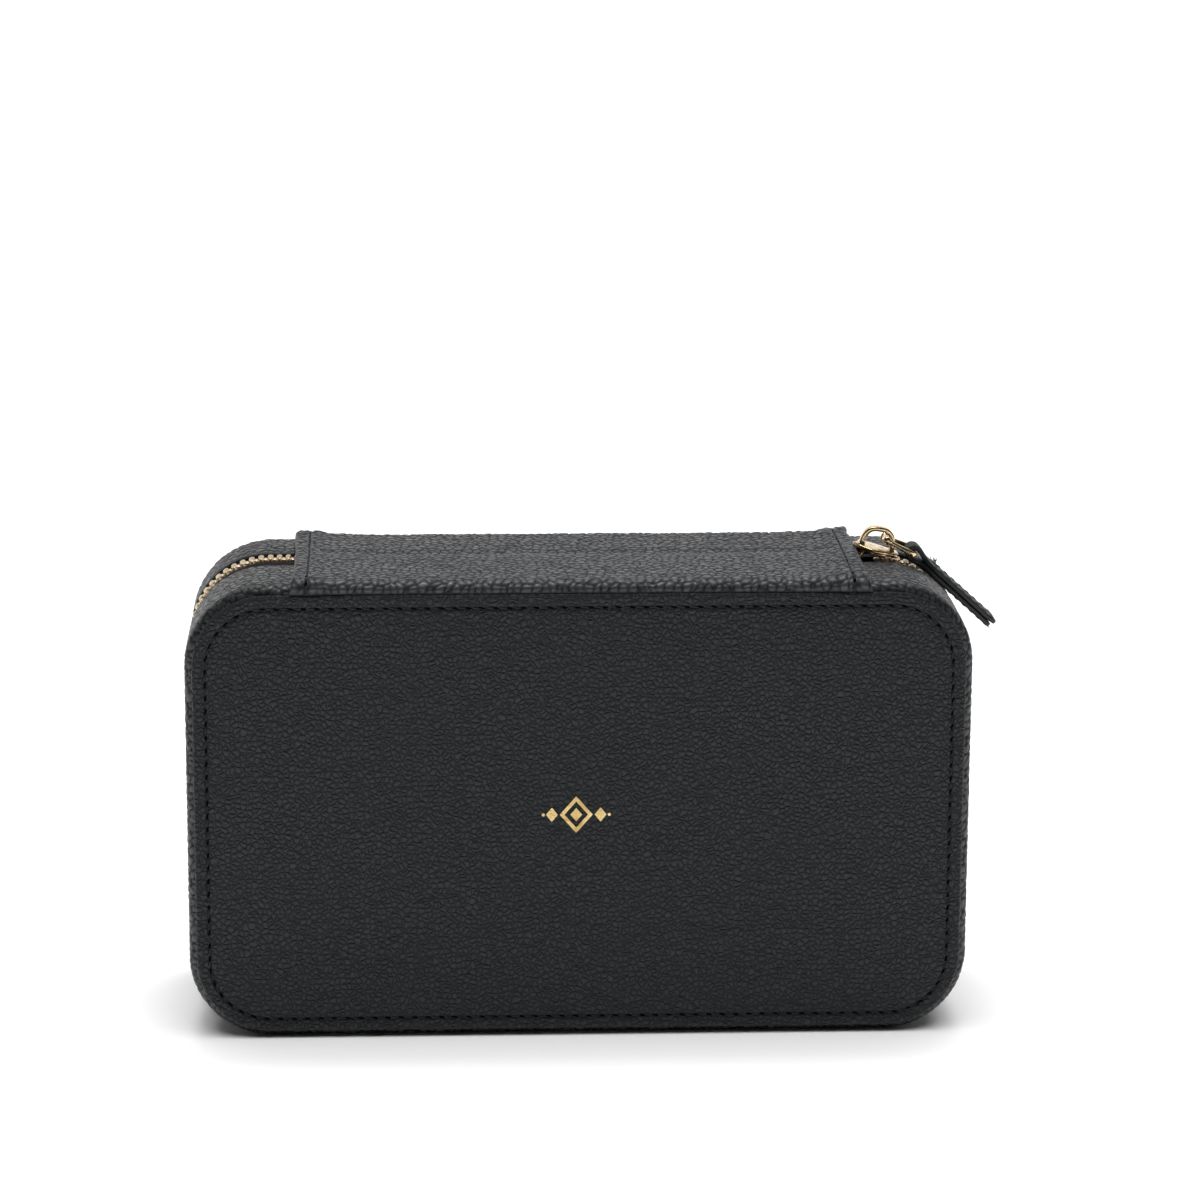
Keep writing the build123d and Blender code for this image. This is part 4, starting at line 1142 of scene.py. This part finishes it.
v, f = tube(loop, LV, link_sec, closed=True)
parts = [(v, f)]
for s in (-1, 1):
    parts.append(ellipsoid(LK(0.0, s * 2.7), LU * 1.1 * MM, YX * 0.95 * MM, LV * 1.12 * MM, 18, 12))
v, f = join(parts)
ob = make("puller_link_cast", v, f, M_GOLD, "puller_link")
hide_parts("puller_link")

# ------------------------------------------------------------------ puller tab
TA = math.radians(42.0)
TU = Vector((math.cos(TA), 0, -math.sin(TA)))
TV = Vector((math.sin(TA), 0, math.cos(TA)))
TO = Vector(P(Bq[0], 0, Bq[1]))


def TB(u, y, v):
    return TO + TU * (u * MM) + YX * (y * MM) + TV * (v * MM)


HT = 0.61
mid_r = 1.0 + 0.58
LAY = 0.64                                # each layer's middle, off the bar's line
cl = [(27.45, -LAY - 0.14), (26.2, -LAY - 0.10), (24, -LAY - 0.04), (21, -LAY), (18, -LAY), (15, -LAY + 0.02), (12.5, -LAY), (10.2, -LAY), (8.2, -LAY), (6.6, -LAY), (5.2, -LAY - 0.01), (4.0, -LAY - 0.08), (2.9, -LAY - 0.32), (1.9, -LAY - 0.64), (0.9, -LAY - 0.86)]
for k in range(0, 12):
    t = math.radians(-78 - 17.6 * k)
    cl.append((mid_r * math.cos(t), mid_r * math.sin(t)))
cl += [(1.3, LAY + 0.80), (2.3, LAY + 0.52), (3.3, LAY + 0.22), (4.5, LAY + 0.05), (6.0, LAY), (7.2, LAY), (9.5, LAY - 0.02), (12.5, LAY), (16, LAY + 0.03), (20, LAY + 0.02), (23.5, LAY + 0.02), (26.2, LAY + 0.06), (28.1, LAY + 0.12)]
pts2 = catmull([Vector((a, b, 0)) for a, b in cl], 4)
tabpts = [TB(p.x, 0, p.y) for p in pts2]
nt = len(tabpts)
tups = []
for k in range(nt):
    a, b = pts2[max(k - 1, 0)], pts2[min(k + 1, nt - 1)]
    t = (b - a).normalized()
    n2 = Vector((-t.y, t.x, 0))            # left of travel
    n2 = -n2 if k >= 0 else n2
    tups.append(-(TU * n2.x + TV * n2.y))


def tab_half(u):
    w = 2.95 + (4.45 - 2.95) * smooth(2.2, 7.0, u)
    return w - 0.35 * smooth(26.6, 28.2, u)


def tab_sec(k, n):
    u = pts2[k].x
    hw = tab_half(u)
    e = min(k, n - 1 - k)
    shrink = (0.86, 0.97, 1.0)[min(e, 2)]
    return rrect(hw * (0.965 if e == 0 else 1) * MM, HT * shrink * MM, 0.34 * MM, 4)


v, f = tube(tabpts, tups, tab_sec)
ob = make("puller_tab_leather", v, f, M_TAB, "puller_tab")
ob.data.materials.append(M_EDGE)
for poly in ob.data.polygons:
    if abs(poly.normal.y) > 0.6 or (poly.area > 3e-6 and len(poly.vertices) > 8):
        poly.material_index = 1
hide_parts("puller_tab")
# stitches: two rows of the tab's margins, a bar tack at the root
pt, ph = [], []
for s in (-1, 1):
    for j in range(8):
        u = 8.6 + j * 2.55
        stitch(pt, ph, TB(u, s * 3.3, LAY + HT - 0.05), TU, TV, length=1.9, lean=0.05, r=0.2, rise=0.08, hole_l=0.45, hole_w=0.24)
        stitch(pt, ph, TB(u, s * 3.3, -LAY - HT + 0.05), TU, -TV, length=1.9, lean=0.05, r=0.2, rise=0.08, hole_l=0.45, hole_w=0.24)
for j in range(3):
    stitch(pt, ph, TB(7.0, -2.4 + j * 2.4, LAY + HT - 0.04), YX, TV, length=1.9, lean=0.05, r=0.22, rise=0.10, hole_l=0.45, hole_w=0.25)
# the tuft where the thread was tied off
for j in range(7):
    b = TB(6.3 + 0.3 * j, 3.9 + 0.1 * (j % 3), LAY + HT - 0.05)
    d = Vector((rnd.uniform(-0.5, 0.5), rnd.uniform(0.1, 0.5), rnd.uniform(0.6, 1.0))).normalized()
    tip = b + d * rnd.uniform(0.9, 1.6) * MM
    mid = (b + tip) / 2 + Vector((rnd.uniform(-0.3, 0.3) * MM, 0, 0))
    pt.append(tube([b, mid, tip], (0.2, 1, 0.1), lambda k, n: circle((0.14, 0.12, 0.06)[k] * MM, 6)))
v, f = join(pt)
make("puller_tab_thread", v, f, M_THREAD, "puller_tab")
# the awl holes are dark patches of painted shade
v, f = join(ph)
make("puller_tab_awl_holes", v, f, M_HOLE_SHADE, "puller_tab")

# ------------------------------------------------------------------ ring rolls
r0, r1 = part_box("ring_rolls")
rx0, rx1 = r0.x * 1000 - CX, r1.x * 1000 - CX
ry = (r0.y + r1.y) / 2 * 1000 - CY
rr_ = (r1.y - r0.y) / 2 * 1000
rz0, rz1 = r0.z * 1000 + rr_, r1.z * 1000 - rr_
N_ROLL = int(round((rz1 - rz0) / 13.6)) + 1
parts = []
for j in range(N_ROLL):
    zc = rz0 + (rz1 - rz0) * j / (N_ROLL - 1)
    verts, faces = [], []
    nl, na = 120, 44
    stations = []
    for k in range(nl + 1):
        stations.append(rx0 + 0.25 + (rx1 - rx0 - 0.5) * k / nl)
    for k, x in enumerate(stations):
        e = min(x - rx0 - 0.25, rx1 - 0.25 - x)
        rad = rr_ - 0.25
        if e < 2.2:
            rad -= 2.2 - math.sqrt(max(0.0, 2.2 ** 2 - (2.2 - e) ** 2))
        for q in range(na):
            t = 2 * math.pi * q / na
            w = noise.noise(Vector((x / 9, math.cos(t) * 1.6 + j * 5, math.sin(t) * 1.6))) * 0.16
            w += noise.noise(Vector((x / 2.1, math.cos(t) * 3 + j * 7, math.sin(t) * 3))) * 0.05 * (1 - smooth(0, 9, e)) * 2.2
            w -= 0.10 * math.exp(-((t - math.pi * 1.5) / 0.05) ** 2)
            rq = rad + min(w, 0.2)
            verts.append(P(x, ry + rq * math.cos(t), zc + rq * math.sin(t)))
    for k in range(nl):
        for q in range(na):
            p = (q + 1) % na
            faces.append((k * na + q, (k + 1) * na + q, (k + 1) * na + p, k * na + p))
    c0, c1 = len(verts), len(verts) + 1
    verts.append(P(rx0 + 0.35, ry, zc))
    verts.append(P(rx1 - 0.35, ry, zc))
    for q in range(na):
        p = (q + 1) % na
        faces.append((c0, q, p))
        faces.append((c1, nl * na + p, nl * na + q))
    parts.append((verts, faces))
v, f = join(parts)
rolls = make("ring_rolls_soft", v, f, M_SUEDE, "base")
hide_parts("ring_rolls")

# ------------------------------------------------------------------ gathered pocket
p0, p1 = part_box("necklace_pocket")
e0, e1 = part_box("pocket_elastic")
px0, px1 = p0.x * 1000 - CX, p1.x * 1000 - CX
pz0, pz1 = p0.z * 1000, p1.z * 1000
py0, py1 = p0.y * 1000 - CY, p1.y * 1000 - CY
ez0 = e0.z * 1000
ey0, ey1 = e0.y * 1000 - CY, e1.y * 1000 - CY
FOLDS, TH = 26, 0.55
cols, rows = 26 * 14, 46


def pocket_at(u, v):
    x = px0 + 0.6 + (px1 - px0 - 1.2) * u
    z = pz0 + 0.4 + (pz1 - pz0 - 0.8) * v
    side = smooth(0, 0.045, min(u, 1 - u))
    full = side * smooth(0.0, 0.16, v) * (1 - 0.25 * smooth(0.45, 0.95, v))
    mid = py0 + 0.75 + (py1 - py0 - 2.5) * full
    amp = (0.25 + 0.72 * smooth(0.1, 0.85, v)) * side
    ph = u * FOLDS * 2 * math.pi + 1.3 * noise.noise(Vector((u * 9, v * 1.6, 1)))
    f = math.sin(ph) + 0.35 * math.sin(2 * ph + 0.8) + 0.5 * noise.noise(Vector((u * 30, v * 3, 5)))
    y = clamp(mid + amp * f * 0.8, py0 + 0.35, py1 - 0.75)
    sag = 0.35 * math.cos(ph) * side
    return x + sag * 0.5, y, z


verts, faces = [], []
for back in (0, 1):
    for a in range(cols + 1):
        for b in range(rows + 1):
            x, y, z = pocket_at(a / cols, b / rows)
            verts.append(P(x, y - TH * back, z))
n2 = rows + 1
N2 = (cols + 1) * n2
for a in range(cols):
    for b in range(rows):
        q = a * n2 + b
        faces.append((q, q + n2, q + n2 + 1, q + 1))
        q += N2
        faces.append((q, q + 1, q + n2 + 1, q + n2))
for a in range(cols):
    for b in (0, rows):
        q = a * n2 + b
        faces.append((q, q + n2, q + n2 + N2, q + N2))
for b in range(rows):
    for a in (0, cols):
        q = a * n2 + b
        faces.append((q, q + 1, q + 1 + N2, q + N2))
pocket = make("necklace_pocket_gathered", verts, faces, M_SUEDE2, "lid")
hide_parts("necklace_pocket")

# ------------------------------------------------------------------ small edges on the carried-over boards
for n in ("divider_long", "divider_cross", "divider_short", "necklace_strip", "necklace_tab_1", "necklace_tab_2", "necklace_tab_3", "necklace_tab_4", "snap_cap_1", "snap_cap_2", "snap_cap_3", "snap_cap_4"):
    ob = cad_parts[n]
    for p in ob.data.polygons:
        p.use_smooth = True
    md = ob.modifiers.new("soft_edge", "BEVEL")
    md.width = 0.00035
    md.segments = 3
    md.limit_method = "ANGLE"
    md.angle_limit = math.radians(40)
    md.harden_normals = True

# ------------------------------------------------------------------ floor, light and camera
bpy.ops.mesh.primitive_plane_add(size=30, location=(0, 0, 0))
floor = bpy.context.object
floor.name = "floor"
fm = Mat("pale_floor")
fn = fm.n("ShaderNodeTexNoise", Vector=fm.co, Scale=3.0, Detail=2.0).outputs["Fac"]
fm.set(Base_Color=fm.ramp(fn, [(0.3, (0.93, 0.93, 0.935)), (0.7, (0.95, 0.95, 0.955))]), Roughness=0.9)
fm.b.inputs["Specular IOR Level"].default_value = 0.1
floor.data.materials.append(fm.m)

world = bpy.data.worlds.new("studio")
bpy.context.scene.world = world
world.use_nodes = True
wt = world.node_tree
bg = wt.nodes["Background"]
tc = wt.nodes.new("ShaderNodeTexCoord")
sx = wt.nodes.new("ShaderNodeSeparateXYZ")
wt.links.new(tc.outputs["Generated"], sx.inputs[0])


def wmap(sock, a, b, c, d):
    nd = wt.nodes.new("ShaderNodeMapRange")
    nd.interpolation_type = "SMOOTHSTEP"
    for k, v in (("From Min", a), ("From Max", b), ("To Min", c), ("To Max", d)):
        nd.inputs[k].default_value = v
    wt.links.new(sock, nd.inputs["Value"])
    return nd.outputs[0]


# a bright backdrop behind, dimmer to either side, a dim ceiling, a dark room in front
wm = wt.nodes.new("ShaderNodeMath")
wm.operation = "MULTIPLY"
wt.links.new(wmap(sx.outputs["Y"], -0.45, 0.70, 0.055, 1.10), wm.inputs[0])
wt.links.new(wmap(sx.outputs["Z"], 0.22, 0.80, 1.0, 0.26), wm.inputs[1])
wa = wt.nodes.new("ShaderNodeMath")
wa.operation = "ABSOLUTE"
wt.links.new(sx.outputs["X"], wa.inputs[0])
wx = wt.nodes.new("ShaderNodeMath")
wx.operation = "MULTIPLY"
wt.links.new(wm.outputs[0], wx.inputs[0])
wt.links.new(wmap(wa.outputs[0], 0.40, 0.95, 1.0, 0.30), wx.inputs[1])
wt.links.new(wx.outputs[0], bg.inputs["Strength"])
bg.inputs["Color"].default_value = (1.0, 1.0, 1.0, 1)


def area(name, loc, aim, size, power, size_y=None):
    L = bpy.data.lights.new(name, "AREA")
    L.energy = power
    L.size = size
    if size_y:
        L.shape = "RECTANGLE"
        L.size_y = size_y
    ob = bpy.data.objects.new(name, L)
    bpy.context.scene.collection.objects.link(ob)
    ob.location = loc
    ob.rotation_euler = (Vector(aim) - Vector(loc)).to_track_quat("-Z", "Y").to_euler()
    return ob


area("top_softbox", (0.0, 0.25, 1.25), (0, 0, 0.05), 0.62, 5.5, 0.26)
sun = bpy.data.lights.new("sky_bounce", "SUN")
sun.energy = 3.3
sun.angle = math.radians(60)
so = bpy.data.objects.new("sky_bounce", sun)
bpy.context.scene.collection.objects.link(so)
so.rotation_euler = (math.radians(9), math.radians(2), 0)
so.visible_glossy = False

cam = bpy.data.cameras.new("camera")
co = bpy.data.objects.new("camera", cam)
bpy.context.scene.collection.objects.link(co)
bpy.context.scene.camera = co
cam.sensor_width = 36
cam.lens = 125.50
cam.clip_start = 0.05
cam.clip_end = 60
pitch, yaw, roll = math.radians(13.594), math.radians(2.685), math.radians(0.268)
fwd = Vector((math.sin(yaw) * math.cos(pitch), math.cos(yaw) * math.cos(pitch), -math.sin(pitch)))
right = Vector((math.cos(yaw), -math.sin(yaw), 0))
up = right.cross(fwd)
r2 = right * math.cos(roll) + up * math.sin(roll)
u2 = up * math.cos(roll) - right * math.sin(roll)
rot = Matrix((r2, u2, -fwd)).transposed()
co.matrix_world = Matrix.Translation(Vector(((CX - 43.08) * MM, (CY - 3 - 1051.27) * MM, 362.77 * MM))) @ rot.to_4x4()

bpy.context.scene.view_settings.view_transform = "Standard"
bpy.context.scene.view_settings.look = "None"
